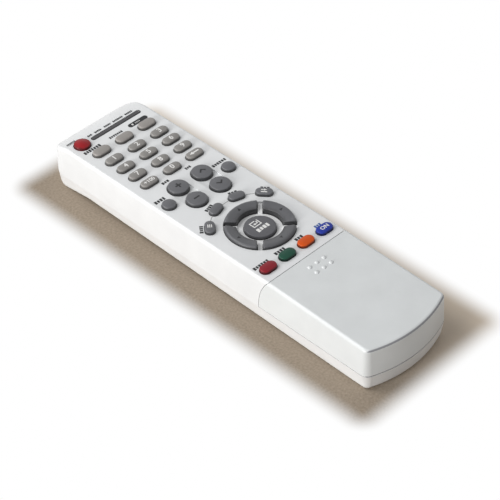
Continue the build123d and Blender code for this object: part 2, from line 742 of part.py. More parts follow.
# Two cells, one with its nub to the head and the other with its nub to the tail
tail_contact_face = bay_start + CONTACT_GAP + CONTACT_THICKNESS
head_contact_face = bay_end - CONTACT_GAP - CONTACT_THICKNESS
with BuildPart() as batteries:
    with BuildSketch(Plane.XZ.offset(-tail_contact_face - LEAF_DEPTH)):
        with Locations((-cell_x, cell_height)):
            Circle(CELL_RADIUS)
    extrude(amount=-CELL_LENGTH)
    with BuildSketch(Plane.XZ.offset(-tail_contact_face - LEAF_DEPTH)):
        with Locations((-cell_x, cell_height)):
            Circle(NUB_RADIUS)
    extrude(amount=-CELL_LENGTH - NUB_LENGTH)
    with BuildSketch(Plane.XZ.offset(-head_contact_face + LEAF_DEPTH)):
        with Locations((cell_x, cell_height)):
            Circle(CELL_RADIUS)
    extrude(amount=CELL_LENGTH)
    with BuildSketch(Plane.XZ.offset(-head_contact_face + LEAF_DEPTH)):
        with Locations((cell_x, cell_height)):
            Circle(NUB_RADIUS)
    extrude(amount=CELL_LENGTH + NUB_LENGTH)
batteries.part.label = "batteries"


def make_leaf(x, face, direction):
    """Return a bowed contact leaf that reaches from a plate's face towards a cell's end."""
    low = cell_height - CONTACT_WIDTH / 2
    high = cell_height + CONTACT_WIDTH / 2
    tip = face + direction * (LEAF_DEPTH - CONTACT_GAP)
    inner_tip = tip - direction * CONTACT_THICKNESS
    with BuildPart() as leaf:
        with BuildSketch(Plane.YZ.offset(x)):
            with BuildLine():
                ThreePointArc((face, low), (tip, cell_height), (face, high))
                Line((face, high), (face, high - CONTACT_THICKNESS))
                inner_low = (face, low + CONTACT_THICKNESS)
                ThreePointArc((face, high - CONTACT_THICKNESS), (inner_tip, cell_height), inner_low)
                Line(inner_low, (face, low))
            make_face()
        extrude(amount=TAB_WIDTH / 2, both=True)
    return leaf.part


tail_leaf = make_leaf(-cell_x, tail_contact_face, 1)
head_leaf = make_leaf(cell_x, head_contact_face, -1)

# Contacts: a bridge at the tail, and two end plates whose tabs rise to the board
with BuildPart() as battery_contacts:
    with BuildSketch(Plane.XZ.offset(-tail_contact_face)):
        with Locations((0, cell_height)):
            Rectangle(2 * cell_x + CONTACT_WIDTH, CONTACT_WIDTH)
    extrude(amount=CONTACT_THICKNESS)
    add(tail_leaf)
    with BuildSketch(Plane.XZ.offset(-head_contact_face)):
        for side in (-1, 1):
            with Locations((side * cell_x, cell_height)):
                Rectangle(CONTACT_WIDTH, CONTACT_WIDTH)
                tab_length = board_under - CONTACT_GAP - cell_height
                Rectangle(TAB_WIDTH, tab_length, align=(Align.CENTER, Align.MIN))
    extrude(amount=-CONTACT_THICKNESS)
    add(head_leaf)
battery_contacts.part.label = "battery_contacts"

window_shape = make_window_block(0)
window_back = make_upper_form(WINDOW_THICKNESS, WINDOW_THICKNESS, 0)

# Tinted windows: the infrared window in the head's front, and the mode light's lens
with BuildPart() as tinted_windows:
    add(full_form)
    add(window_shape, mode=Mode.INTERSECT)
    add(window_back, mode=Mode.SUBTRACT)
    with BuildSketch(Plane.XY.offset(face_under - FLANGE_GAP)):
        draw_light(0)
    extrude(amount=TOP_WALL + FLANGE_GAP)
    with BuildSketch(Plane.XY.offset(face_under - FLANGE_GAP)):
        draw_light(LIGHT_FLANGE)
    extrude(amount=-FLANGE_THICKNESS)
tinted_windows.part.label = "tinted_windows"


def make_key(spot, top, under, crown):
    """Return a key: cap, flange under its wall, and plunger down to the mat."""
    flange_top = under - FLANGE_GAP
    flange_bottom = flange_top - FLANGE_THICKNESS
    with BuildPart() as key:
        with BuildSketch(Plane.XY.offset(flange_bottom)):
            draw_flange(spot, 0)
        extrude(amount=FLANGE_THICKNESS)
        with BuildSketch(Plane.XY.offset(flange_top)):
            draw_cap(spot, 0)
        extrude(amount=top - flange_top)
        if spot.length == spot.width and crown == 0:
            chamfer(key.edges().group_by(Axis.Z)[-1], KEY_CHAMFER)
        if spot.length == spot.width and crown > 0:
            ball_radius = (spot.length**2 / 4 + crown**2) / (2 * crown)
            with Locations((spot.x, spot.y, top - ball_radius)):
                Sphere(ball_radius, mode=Mode.INTERSECT)
        if flange_bottom - plunger_foot > PRESSED_GAP:
            with BuildSketch(Plane.XY.offset(plunger_foot)):
                with Locations((spot.x, spot.y)):
                    Rectangle(PLUNGER_SIZE, PLUNGER_SIZE)
            extrude(amount=flange_bottom - plunger_foot)
    key.part.label = spot.name
    return key


def make_ring_key(name, turn):
    """Return a quarter of the ring, cut on the diagonals, with its top sloping inwards."""
    inner = RING_INNER_RADIUS
    outer = RING_OUTER_RADIUS
    flange_top = face_under - FLANGE_GAP
    flange_bottom = flange_top - FLANGE_THICKNESS
    outer_top = face_height + RING_OUTER_RISE
    apex = RING_SPLIT / sqrt(2)
    reach = 2 * outer
    with BuildPart() as key:
        with BuildSketch(Plane.XZ.offset(-ring_y)):
            with BuildLine():
                Polyline((inner, flange_bottom), (outer + FLANGE_EDGE, flange_bottom))
                Polyline((outer + FLANGE_EDGE, flange_bottom), (outer + FLANGE_EDGE, flange_top))
                Polyline((outer + FLANGE_EDGE, flange_top), (outer, flange_top))
                Polyline((outer, flange_top), (outer, outer_top - RING_CHAMFER))
                Polyline((outer, outer_top - RING_CHAMFER), (outer - RING_CHAMFER, outer_top))
                Polyline((outer - RING_CHAMFER, outer_top), (inner, face_height + RING_INNER_RISE))
                Line((inner, face_height + RING_INNER_RISE), (inner, flange_bottom))
            make_face()
        revolve(axis=Axis((0, ring_y, 0), (0, 0, 1)))
        with BuildSketch(Plane.XY.offset(panel_under)):
            with Locations(Location((0, ring_y, 0), (0, 0, turn))):
                corners = ((apex, 0), (apex + reach, reach), (apex + reach, -reach))
                Polygon(*corners, align=None)
        extrude(amount=big, mode=Mode.INTERSECT)
        with BuildSketch(Plane.XY.offset(plunger_foot)):
            with Locations(Location((0, ring_y, 0), (0, 0, turn))):
                with Locations(((inner + outer) / 2, 0)):
                    Rectangle(PLUNGER_SIZE, PLUNGER_SIZE)
        extrude(amount=flange_bottom - plunger_foot)
    key.part.label = name
    return key


keys = []
for spot in top_keys + colour_keys:
    keys.append(make_key(spot, face_height + KEY_RISE, face_under, ROUND_KEY_CROWN))
for spot in lower_keys:
    keys.append(make_key(spot, panel_top + LOWER_KEY_RISE, panel_under, 0))
enter_spot = KeySpot("key_enter", 0, ring_y, 2 * ENTER_RADIUS, 2 * ENTER_RADIUS, 0)
keys.append(make_key(enter_spot, dish_floor + ENTER_RISE, dish_floor - DISH_FLOOR, 0))
for place, name in enumerate(("key_right", "key_up", "key_left", "key_down")):
    keys.append(make_ring_key(name, 90 * place))

os.makedirs("parts", exist_ok=True)
export_step(upper_case.part, "parts/upper_case.step")
export_step(lower_case.part, "parts/lower_case.step")
export_step(slide_cover.part, "parts/slide_cover.step")
export_step(battery_door.part, "parts/battery_door.step")
export_step(keypad_mat.part, "parts/keypad_mat.step")
export_step(circuit_board.part, "parts/circuit_board.step")
export_step(batteries.part, "parts/batteries.step")
export_step(battery_contacts.part, "parts/battery_contacts.step")
export_step(tinted_windows.part, "parts/tinted_windows.step")
for key in keys:
    export_step(key.part, f"parts/{key.part.label}.step")
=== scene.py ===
# %% [markdown]
# A television remote control, dressed for a studio picture. Its solid parts come from the packed
# model, at their real size and in metres, so one Blender unit is one metre. This file gives each
# of them its finish, and replaces those whose soft edges the imported solids only hint at: the keys
# and the cells. The imported model is loaded first, because every size below is read from it.

# %% Load the imported model
import bmesh
import bpy
import json
from math import asin, atan2, cos, degrees, hypot, pi, radians, sin, sqrt
from mathutils import Matrix, Vector

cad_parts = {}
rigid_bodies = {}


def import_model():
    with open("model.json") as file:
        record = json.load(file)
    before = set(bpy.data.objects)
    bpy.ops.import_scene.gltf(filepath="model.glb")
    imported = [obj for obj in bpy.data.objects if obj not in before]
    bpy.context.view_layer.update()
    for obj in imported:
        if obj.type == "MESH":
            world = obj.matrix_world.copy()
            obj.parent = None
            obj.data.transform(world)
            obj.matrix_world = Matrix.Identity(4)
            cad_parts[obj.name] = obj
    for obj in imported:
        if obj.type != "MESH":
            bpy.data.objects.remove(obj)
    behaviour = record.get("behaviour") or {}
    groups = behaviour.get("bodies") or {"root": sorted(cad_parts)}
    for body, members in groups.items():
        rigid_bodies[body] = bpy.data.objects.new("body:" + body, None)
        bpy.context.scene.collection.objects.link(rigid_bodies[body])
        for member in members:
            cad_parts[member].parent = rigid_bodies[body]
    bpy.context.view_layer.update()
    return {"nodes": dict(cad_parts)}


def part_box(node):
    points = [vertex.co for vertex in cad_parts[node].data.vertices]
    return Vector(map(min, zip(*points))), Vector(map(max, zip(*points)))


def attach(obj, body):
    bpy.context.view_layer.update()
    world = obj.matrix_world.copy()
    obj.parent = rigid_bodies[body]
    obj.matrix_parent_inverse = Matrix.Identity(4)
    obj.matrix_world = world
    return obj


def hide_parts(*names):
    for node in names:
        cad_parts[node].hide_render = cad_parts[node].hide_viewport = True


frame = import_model()
nodes = frame["nodes"]
scene = bpy.context.scene
MM = 0.001

# %% [markdown]
# Places that several pieces share. They could be typed in as numbers, but then a change of the
# solid model would leave the printing in the air. So the key face, the sunk panel and the seam are
# read off the boxes of the parts that touch them. Only clearances and the small radii that a box
# doesn't show are written as numbers.

# %% Shared places
PANEL_KEY_RISE = 1.1 * MM
SEAM_DROP = 5.0 * MM
case_low, case_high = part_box("upper_case")
cover_low, cover_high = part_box("slide_cover")
enter_low, enter_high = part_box("key_enter")
cells_low, cells_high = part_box("batteries")
ring_centre = (enter_low + enter_high) / 2
FACE = case_high.z
PANEL_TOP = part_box("key_stop")[1].z - PANEL_KEY_RISE
SEAM = cover_high.y - SEAM_DROP
print("key face at", round(FACE / MM, 2), "mm, panel at", round(PANEL_TOP / MM, 2), "mm")

# %% [markdown]
# A material is a tree of small nodes joined by links. It could be built by hand in the Shader
# Editor, but a script gives the same tree each time it runs. These two helpers place a node and
# feed it in one line: a value that is a socket is linked, and a plain value is set.

# %% Helpers that place a node


def feed(tree, socket, value):
    """Link a socket to the one that its value comes from, or set it to a plain value."""
    if isinstance(value, bpy.types.NodeSocket):
        tree.links.new(value, socket)
    else:
        socket.default_value = value


def add_node(tree, kind, *values, **settings):
    """Add a node: a named value goes to its property or socket, the others to its first sockets."""
    node = tree.nodes.new(kind)
    for label, value in settings.items():
        if hasattr(node, label):
            setattr(node, label, value)
        else:
            feed(tree, node.inputs[label.replace("_", " ")], value)
    for socket, value in zip(node.inputs, values):
        feed(tree, socket, value)
    return node


print("materials before the first finish:", len(bpy.data.materials))

# %% [markdown]
# A noise, a sum or a mask is nearly always wanted for the one socket that it gives out. The nodes
# could be kept and their sockets looked up each time, but helpers that return only that socket let
# a tree read like a formula. A mix node has sockets for numbers, vectors and colours under the
# same names, so its colours are found by their place.

# %% Helpers that return a socket
MIX_FIRST = 6
MIX_SECOND = 7
MIX_RESULT = 2


def object_point(tree):
    """Return the socket that gives a point's place on the object, in metres."""
    return add_node(tree, "ShaderNodeTexCoord").outputs["Object"]


def noise(tree, point, scale, detail, **settings):
    """Return the socket of a noise at a point."""
    settings.update(Vector=point, Scale=scale, Detail=detail)
    return add_node(tree, "ShaderNodeTexNoise", **settings).outputs["Fac"]


def calculate(tree, operation, *values, **settings):
    """Return the socket of a sum, product or comparison."""
    node = add_node(tree, "ShaderNodeMath", *values, operation=operation, **settings)
    return node.outputs["Value"]


def on_vectors(tree, operation, output, *values, **settings):
    """Return an output socket of an operation on vectors."""
    node = add_node(tree, "ShaderNodeVectorMath", *values, operation=operation, **settings)
    return node.outputs[output]


def remap(tree, value, low, high, **settings):
    """Return a socket that goes from 0 to 1 as a value goes from low to high."""
    return add_node(tree, "ShaderNodeMapRange", value, low, high, **settings).outputs["Result"]


def split(tree, vector):
    """Return the sockets of a vector's X, Y and Z."""
    return add_node(tree, "ShaderNodeSeparateXYZ", vector).outputs


def mix_colours(tree, factor, first, second):
    """Return the socket of a mix of two colours."""
    mix = add_node(tree, "ShaderNodeMix", factor, data_type="RGBA")
    feed(tree, mix.inputs[MIX_FIRST], first)
    feed(tree, mix.inputs[MIX_SECOND], second)
    return mix.outputs[MIX_RESULT]


def between(tree, point, axis, low, high):
    """Return a socket that is 1 where one coordinate of a point lies between low and high."""
    place = split(tree, point)[axis]
    above = calculate(tree, "GREATER_THAN", place, low)
    return calculate(tree, "MULTIPLY", above, calculate(tree, "LESS_THAN", place, high))


print("a mix node's colours are its sockets", MIX_FIRST, "and", MIX_SECOND)

# %% [markdown]
# Effects that several finishes share are node groups: built once, then placed in each material
# with its own values. The same nodes could be repeated in every material, but then each change
# would have to be made in all of them. This helper opens a group with named inputs and one output.
# A group gives out only numbers, masks and colours. The shader itself always stays in the
# material, where an export can read it.

# %% Helper that opens a node group


def open_group(name, output, **inputs):
    """Start a node group and return it with its point, its inputs and its output socket."""
    group = bpy.data.node_groups.new(name, "ShaderNodeTree")
    add_socket = group.interface.new_socket
    number, colour = "NodeSocketFloat", "NodeSocketColor"
    for label, value in inputs.items():
        kind = number if isinstance(value, float) else colour
        socket = add_socket(label.replace("_", " "), in_out="INPUT", socket_type=kind)
        socket.default_value = value
    kind = colour if output == "Color" else number
    add_socket(output, in_out="OUTPUT", socket_type=kind)
    given = group.nodes.new("NodeGroupInput").outputs
    result = group.nodes.new("NodeGroupOutput").inputs[output]
    print("group:", name)
    return group, object_point(group), given, result


# %% [markdown]
# Moulded plastic is never mirror smooth. Its mould is spark eroded, which leaves a fine even grain
# of about a fifth of a millimetre. The grain could be modelled, but it would take millions of
# faces, and a picture shows it only in the gloss. So two noises make a height for a Bump node: one
# for the grain, and one for the slight orange peel that a thick wall shows as it cools.

# %% Node group: moulded grain


def build_moulded_grain():
    """Group: the height of a moulded skin, from a fine grain and a broad orange peel."""
    group, point, given, result = open_group(
        "moulded grain", "Height", Grain_Scale=4500.0, Peel_Scale=260.0, Peel_Share=0.3)
    grain = noise(group, point, given["Grain Scale"], 2.0, Roughness=0.6)
    peel = noise(group, point, given["Peel Scale"], 1.0)
    mix = add_node(group, "ShaderNodeMix", Factor=given["Peel Share"], A=grain, B=peel)
    feed(group, result, mix.outputs["Result"])
    return group


moulded_grain = build_moulded_grain()

# %% [markdown]
# A plastic or rubber part isn't one flat colour: pigment drifts a little as the mould fills, and
# skin oil greys it slightly where fingers rest. A painted image could show that, but each part
# would have to be unwrapped first. A slow noise in the object's own space needs no unwrapping, and
# the group mixes two near colours by it.

# %% Node group: colour drift
MOTTLE_RANGE = (0.3, 0.7)


def build_colour_drift():
    """Group: a slow mottle between two near colours."""
    group, point, given, result = open_group(
        "colour drift", "Color", Light=(1, 1, 1, 1), Dark=(0.9, 0.9, 0.9, 1), Scale=60.0)
    cloud = noise(group, point, given["Scale"], 4.0, Roughness=0.55)
    mottle = remap(group, cloud, *MOTTLE_RANGE)
    feed(group, result, mix_colours(group, mottle, given["Light"], given["Dark"]))
    return group


colour_drift = build_colour_drift()

# %% [markdown]
# Handling changes gloss before it changes colour. Palms polish broad patches, and a table leaves
# hairline scuffs. Scuffs could be grooves in the bump, but on real plastic they show mostly as
# duller lines. So the group gives a roughness: a base value, lowered by patches and raised by
# scuffs, which are a noise drawn out sixty to one, nearly along the remote.

# %% Node group: handling
PATCH_SCALE = 45.0
SCUFF_STRETCH = (1800.0, 30.0, 400.0)
SCUFF_TURN = radians(14)
SCUFF_RANGE = (0.66, 0.74)


def build_handling():
    """Group: roughness that polish lowers in patches and that hairline scuffs raise."""
    group, point, given, result = open_group(
        "handling", "Roughness", Roughness=0.4, Polish=0.08, Scuffs=0.12)
    stretch = add_node(group, "ShaderNodeMapping", Vector=point,
                       Rotation=(0.0, 0.0, SCUFF_TURN), Scale=SCUFF_STRETCH)
    hairs = remap(group, noise(group, stretch.outputs["Vector"], 1.0, 2.0), *SCUFF_RANGE)
    patches = noise(group, point, PATCH_SCALE, 3.0)
    lowered = calculate(group, "MULTIPLY", patches, given["Polish"])
    polished = calculate(group, "SUBTRACT", given["Roughness"], lowered)
    raised = calculate(group, "MULTIPLY", hairs, given["Scuffs"])
    feed(group, result, calculate(group, "ADD", polished, raised, use_clamp=True))
    return group


handling = build_handling()

# %% [markdown]
# Rubber and paint wear first where the surface turns sharply, and the keys' rims also catch the
# light. The worn spots could be painted key by key, but Geometry's Pointiness finds them by itself:
# it is over a half on such edges. A narrow range of it, broken up by noise, is a mask of spots made
# lighter, partly as wear and partly as a painted highlight on the rims. It needs a mesh with points
# near its edges, which the keys below have.

# %% Node group: edge wear and painted highlight
EDGE_RANGE = (0.51, 0.58)
WEAR_SCALE = 900.0


def build_worn_and_highlit_edges():
    """Group: the colour of a surface whose turned edges are lighter in spots, worn and with a
    painted highlight.
    """
    group, point, given, result = open_group(
        "edge wear", "Color", Color=(0.2, 0.2, 0.2, 1), Worn=(0.5, 0.5, 0.5, 1), Amount=0.5)
    pointiness = add_node(group, "ShaderNodeNewGeometry").outputs["Pointiness"]
    edge = remap(group, pointiness, *EDGE_RANGE)
    broken = calculate(group, "MULTIPLY", edge, noise(group, point, WEAR_SCALE, 3.0))
    share = calculate(group, "MULTIPLY", broken, given["Amount"], use_clamp=True)
    feed(group, result, mix_colours(group, share, given["Color"], given["Worn"]))
    return group


worn_and_highlit_edges = build_worn_and_highlit_edges()

# %% [markdown]
# A key's wall is darkened towards its foot. This is painted shade, standing in for the shade in the
# gap round the key and on its walls. An Ambient Occlusion node could find the gap, but it is slow
# and darkens every other corner too. The shade here starts at one known height, so the group darkens
# a colour over a short height above a level that the material names. A little noise keeps the
# boundary uneven.

# %% Node group: painted shade at a key's foot
FOOT_UNEVEN = 0.6 * MM
FOOT_SCALE = 500.0


def build_painted_shade_at_foot():
    """Group: painted shade, a colour that darkens towards the foot of a key's wall."""
    group, point, given, result = open_group(
        "foot shade", "Color", Color=(1, 1, 1, 1), Level=0.0, Height=0.001, Foot=0.4)
    height = split(group, point)["Z"]
    ripple = noise(group, point, FOOT_SCALE, 2.0)
    uneven = calculate(group, "MULTIPLY_ADD", ripple, FOOT_UNEVEN, height)
    top = calculate(group, "ADD", given["Level"], given["Height"])
    ramp = remap(group, uneven, given["Level"], top,
                 interpolation_type="SMOOTHSTEP", To_Min=given["Foot"])
    feed(group, result, on_vectors(group, "SCALE", "Vector", given["Color"], Scale=ramp))
    return group


painted_shade_at_foot = build_painted_shade_at_foot()

# %% [markdown]
# A material holds its groups, its Principled BSDF and the links between them. The links could be
# written out in each material, but the same few moves come back each time, so each move has a
# helper. Inputs are fed by name. A paint can cover the colour later, where a mask says so.

# %% Helpers that fill a material


def use_group(tree, group, **values):
    """Place a node group in a material, feed its named inputs and return its output."""
    return add_node(tree, "ShaderNodeGroup", node_tree=group, **values).outputs[0]


def shade(colour, factor=1.0):
    """Return a colour made darker or lighter by a factor, with full alpha."""
    return (colour[0] * factor, colour[1] * factor, colour[2] * factor, 1.0)


def new_material(name):
    """Start a material with a Principled BSDF and return it with its node tree."""
    material = bpy.data.materials.new(name)
    material.use_nodes = True
    return material, material.node_tree


def set_surface(tree, **values):
    """Feed the named sockets of a material's Principled BSDF."""
    sockets = tree.nodes["Principled BSDF"].inputs
    for label, value in values.items():
        feed(tree, sockets[label.replace("_", " ")], value)


def paint_over(tree, mask, paint):
    """Cover a material's colour with a paint where a mask is 1."""
    under = tree.nodes["Principled BSDF"].inputs["Base Color"].links[0].from_socket
    set_surface(tree, Base_Color=mix_colours(tree, mask, under, paint))


print("groups to place:", ", ".join(group.name for group in bpy.data.node_groups))

# %% [markdown]
# Every plastic and rubber finish follows the same recipe. Colour comes from the drift group. On the
# keys it gets lighter edges, which are wear and a painted highlight, and painted shade at the foot.
# Roughness comes from handling, and a bump from the moulded grain. Each material could be wired by
# itself, but one function keeps them alike where the real ones are alike. The Principled BSDF and
# its fixed values stay in the material.

# %% The recipe of a moulded finish
PIGMENT_DRIFT = 0.93
WORN_AND_HIGHLIT_LIGHTER = 1.9
GRAIN_DEPTH = 0.1 * MM


def moulded_finish(name, colour, roughness, bump,
                   worn=0.0, foot=None, coat=0.0, sheen=0.0, gloss=0.5):
    """Make a plastic or rubber material. A foot is the level, height and darkest share of its
    painted shade.
    """
    material, tree = new_material(name)
    skin = use_group(tree, colour_drift, Light=shade(colour), Dark=shade(colour, PIGMENT_DRIFT))
    # Lighter turned edges: partly wear, partly a painted highlight on the rims.
    if worn > 0:
        lighter = shade(colour, WORN_AND_HIGHLIT_LIGHTER)
        skin = use_group(tree, worn_and_highlit_edges, Color=skin, Worn=lighter, Amount=worn)
    # A foot darkens the key's wall towards the case with painted shade.
    if foot:
        level, height, share = foot
        skin = use_group(tree, painted_shade_at_foot, Color=skin, Level=level, Height=height, Foot=share)
    grain = use_group(tree, moulded_grain)
    relief = add_node(tree, "ShaderNodeBump", Strength=bump, Distance=GRAIN_DEPTH, Height=grain)
    touched = use_group(tree, handling, Roughness=roughness)
    set_surface(tree, Base_Color=skin, Roughness=touched, Normal=relief.outputs["Normal"],
                Specular_IOR_Level=gloss, Coat_Weight=coat, Sheen_Weight=sheen, Sheen_Roughness=0.4)
    return material


print("depth of the grain:", round(GRAIN_DEPTH / MM, 2), "mm")

# %% [markdown]
# The keys are silicone in several greys, and the colour keys are the same rubber, dyed. The power
# key is harder and glossier. With a base colour alone they would look like paper, so they also get
# roughness, bump, lighter edges (wear and a painted highlight) and painted shade at the foot, and
# the greys have a little sheen. The two tables hold what differs, and two loops do the rest.

# %% Finishes of the keys
# Each foot is where painted shade darkens a key's wall: its level, its height and its darkest share.
FACE_FOOT = (FACE + 1.2 * MM, 0.6 * MM, 0.28)
RING_FOOT = (FACE + 0.85 * MM, 0.9 * MM, 0.22)
ENTER_FOOT = (enter_high.z - 1.6 * MM, 0.8 * MM, 0.22)
PANEL_FOOT = (PANEL_TOP + 0.1 * MM, 1.0 * MM, 0.3)
GREY_RUBBERS = (
    ("number", (0.225, 0.216, 0.207), 0.7, FACE_FOOT, 0.15),
    ("wide", (0.275, 0.258, 0.245), 0.6, FACE_FOOT, 0.15),
    ("dark", (0.100, 0.102, 0.112), 0.6, FACE_FOOT, 0.2),
    ("ring", (0.080, 0.082, 0.090), 0.6, RING_FOOT, 0.2),
    ("enter", (0.084, 0.085, 0.095), 0.6, ENTER_FOOT, 0.2),
    ("panel", (0.36, 0.34, 0.32), 0.5, PANEL_FOOT, 0.1),
)
DYED_RUBBERS = (
    ("power red", (0.29, 0.005, 0.010), 0.34, 0.12, 0.3),
    ("rubber red", (0.225, 0.009, 0.018), 0.40, 0.2, 0.4),
    ("rubber green", (0.006, 0.060, 0.036), 0.40, 0.2, 0.4),
    ("rubber orange", (0.61, 0.080, 0.003), 0.40, 0.2, 0.3),
    ("rubber blue", (0.013, 0.034, 0.31), 0.40, 0.2, 0.3),
)
finishes = {}
for name, colour, worn, foot, sheen in GREY_RUBBERS:
    label = name + " key rubber"
    finishes[name] = moulded_finish(label, colour, 0.5, 0.25, worn=worn, foot=foot, sheen=sheen)
for name, colour, roughness, bump, worn in DYED_RUBBERS:
    finishes[name] = moulded_finish(
        name, colour, roughness, bump, worn=worn, foot=FACE_FOOT, gloss=0.25)
print("finishes of keys:", len(finishes))

# %% [markdown]
# The tray and the battery door are white ABS, a shade paler than the case. They could share the
# case's white, but two mouldings never match quite, and the seam between them would be lost. The
# mat is the keys' silicone with no wear, because no finger reaches it, and with no painted shade at
# a foot.

# %% Finishes of the tray and the mat
tray_white = moulded_finish("tray white", (0.78, 0.79, 0.80), roughness=0.45, bump=0.15)
mat_silicone = moulded_finish("mat silicone", (0.22, 0.22, 0.23), roughness=0.6, bump=0.3)
print("plain finishes:", tray_white.name, "and", mat_silicone.name)

# %% [markdown]
# The case is white ABS with a faint blue cast. The sunk panel under the cover is one moulding with
# it and painted blue grey. The panel's faces could have a second material, but they would have to
# be picked out again after each change of the solid. So the paint is a mask in the case's own
# material: white becomes grey on the level of the panel's floor, behind the seam. The dish inside
# the ring is painted a brighter white. This is painted light that lifts the shade in the sunk dish,
# and its mask joins a level with a distance from the ring's centre.

# %% The case's white, with the painted panel and painted light in the dish
DISH_DEPTH = 2.0 * MM
DISH_LIP = 0.8 * MM
RING_REACH = 17.0 * MM
PANEL_LENGTH_PAST_TAIL = 8.0 * MM
BELOW_LEVEL = 0.2 * MM
ABOVE_LEVEL = 0.15 * MM
DISH_PAINTED_LIGHT = (0.92, 0.93, 0.94, 1)

case_white = moulded_finish("case white", (0.755, 0.77, 0.785), roughness=0.40, bump=0.12)
tree = case_white.node_tree
point = object_point(tree)
on_floor = between(tree, point, "Z", PANEL_TOP - BELOW_LEVEL, PANEL_TOP + ABOVE_LEVEL)
behind = between(tree, point, "Y", cover_low.y + PANEL_LENGTH_PAST_TAIL, SEAM)
blue_grey = use_group(
    tree, colour_drift, Light=(0.19, 0.235, 0.265, 1), Dark=(0.165, 0.21, 0.235, 1))
paint_over(tree, calculate(tree, "MULTIPLY", on_floor, behind), blue_grey)
# The dish's brighter white is painted light, lifting the shade in the sunk dish.
sunk = between(tree, point, "Z", FACE - DISH_DEPTH - BELOW_LEVEL, FACE - DISH_LIP)
flat = on_vectors(tree, "MULTIPLY", "Vector", point, (1, 1, 0))
reach = on_vectors(tree, "DISTANCE", "Value", flat, (ring_centre.x, ring_centre.y, 0))
near = calculate(tree, "LESS_THAN", reach, RING_REACH)
paint_over(tree, calculate(tree, "MULTIPLY", near, sunk), DISH_PAINTED_LIGHT)
print("case finish:", case_white.name)

# %% [markdown]
# The rounded edge between the cover's top and its tail end is greyed with painted shade. The edge
# could be found by its place, but it curves round the tail. A rounded edge is also where the surface
# faces half up and half outwards, so the mask asks for a normal whose Z part is near 0.6, and for
# one that leans to the tail rather than to a flank. A thin band at the cover's lower edge takes the
# same grey, as painted shade for the gap under it.

# %% The cover's white, with painted shade on the tail edge
GAP_SHADE_HEIGHT = 0.35 * MM
EDGE_LEAN = 0.6
RIM_RANGE = (0.3, 0.14)
TAIL_RANGE = (-0.4, -0.6)
PAINTED_SHADE_GREY = (0.265, 0.27, 0.29, 1)

cover_white = moulded_finish("cover white", (0.69, 0.715, 0.725), roughness=0.42, bump=0.12)
tree = cover_white.node_tree
lean = split(tree, add_node(tree, "ShaderNodeNewGeometry").outputs["Normal"])
off = calculate(tree, "ABSOLUTE", calculate(tree, "SUBTRACT", lean["Z"], EDGE_LEAN))
rim = remap(tree, off, *RIM_RANGE, interpolation_type="SMOOTHSTEP")
tail = remap(tree, lean["Y"], *TAIL_RANGE, interpolation_type="SMOOTHSTEP")
# Painted shade in the gap under the cover's lower edge.
gap_shade = between(tree, object_point(tree), "Z", cover_low.z, cover_low.z + GAP_SHADE_HEIGHT)
either = calculate(tree, "MAXIMUM", rim, gap_shade)
paint_over(tree, calculate(tree, "MULTIPLY", either, tail), PAINTED_SHADE_GREY)
print("cover finish:", cover_white.name)

# %% [markdown]
# A cell's jacket is a printed sleeve: pale grey, with a teal band near the raised end. The band
# could be a thin mesh round the sleeve, but real printing has no step at its edge. It is a mask
# along the cell's length, and the two cells lie head to tail, so each has a material with a band
# of its own.

# %% Cell jackets
CELL_BAND = 9.0 * MM

cell_jackets = {}
for side, band_low in (("left", cells_high.y - CELL_BAND), ("right", cells_low.y)):
    sleeve = moulded_finish(f"cell jacket {side}", (0.50, 0.52, 0.54), 0.3, 0.05, coat=0.4)
    tree = sleeve.node_tree
    band = between(tree, object_point(tree), "Y", band_low, band_low + CELL_BAND)
    teal = use_group(tree, colour_drift, Light=(0.01, 0.20, 0.24, 1), Dark=(0.01, 0.16, 0.20, 1))
    paint_over(tree, band, teal)
    cell_jackets[side] = sleeve
print("cell jackets:", len(cell_jackets))

# %% [markdown]
# The infrared window and the mode light are tinted acrylic with a thin clear coat. It could be
# glass that light passes through, but it is nearly black and only its gloss shows, so an opaque
# surface is enough. The contacts and the cells' cans are nickel plate. Both finishes drift between
# two near colours, and the handling group polishes and scuffs them.

# %% Acrylic and nickel


def hard_finish(name, light, dark, scale, roughness, polish, scuffs, **fixed):
    """Make a hard material from two near colours, a handled roughness and fixed values."""
    material, tree = new_material(name)
    tint = use_group(tree, colour_drift, Light=shade(light), Dark=shade(dark), Scale=scale)
    gloss = use_group(tree, handling, Roughness=roughness, Polish=polish, Scuffs=scuffs)
    set_surface(tree, Base_Color=tint, Roughness=gloss, **fixed)
    return material


tinted_acrylic = hard_finish(
    "tinted acrylic", (0.045, 0.042, 0.048), (0.03, 0.028, 0.032), scale=90.0,
    roughness=0.22, polish=0.1, scuffs=0.2, Coat_Weight=0.2, Coat_Roughness=0.08)
nickel_plate = hard_finish(
    "nickel plate", (0.72, 0.70, 0.66), (0.60, 0.57, 0.52), scale=300.0,
    roughness=0.28, polish=0.1, scuffs=0.25, Metallic=1.0)
print("hard finishes:", tinted_acrylic.name, "and", nickel_plate.name)

# %% [markdown]
# The board is coated with green solder mask, and its tracks show through a little lighter. They
# could be modelled as thin strips, but the board is seen only through gaps. So they are the joints
# of a brick pattern, which are as straight and even as tracks are.

# %% Solder mask
solder_mask, tree = new_material("solder mask")
tracks = add_node(
    tree, "ShaderNodeTexBrick", Vector=object_point(tree), Scale=260.0, Mortar_Size=0.035,
    Color1=(0.012, 0.075, 0.03, 1), Color2=(0.015, 0.09, 0.035, 1), Mortar=(0.04, 0.17, 0.06, 1))
gloss = use_group(tree, handling, Roughness=0.32, Polish=0.06, Scuffs=0.1)
set_surface(tree, Base_Color=tracks.outputs["Color"], Roughness=gloss)
print("board finish:", solder_mask.name)

# %% [markdown]
# The printing is matt ink, worn thin in small specks. The specks could be holes in the ink, but on
# a real case they are only a little off in colour. So each ink drifts between its colour and a
# darker one, at a scale of under a millimetre.

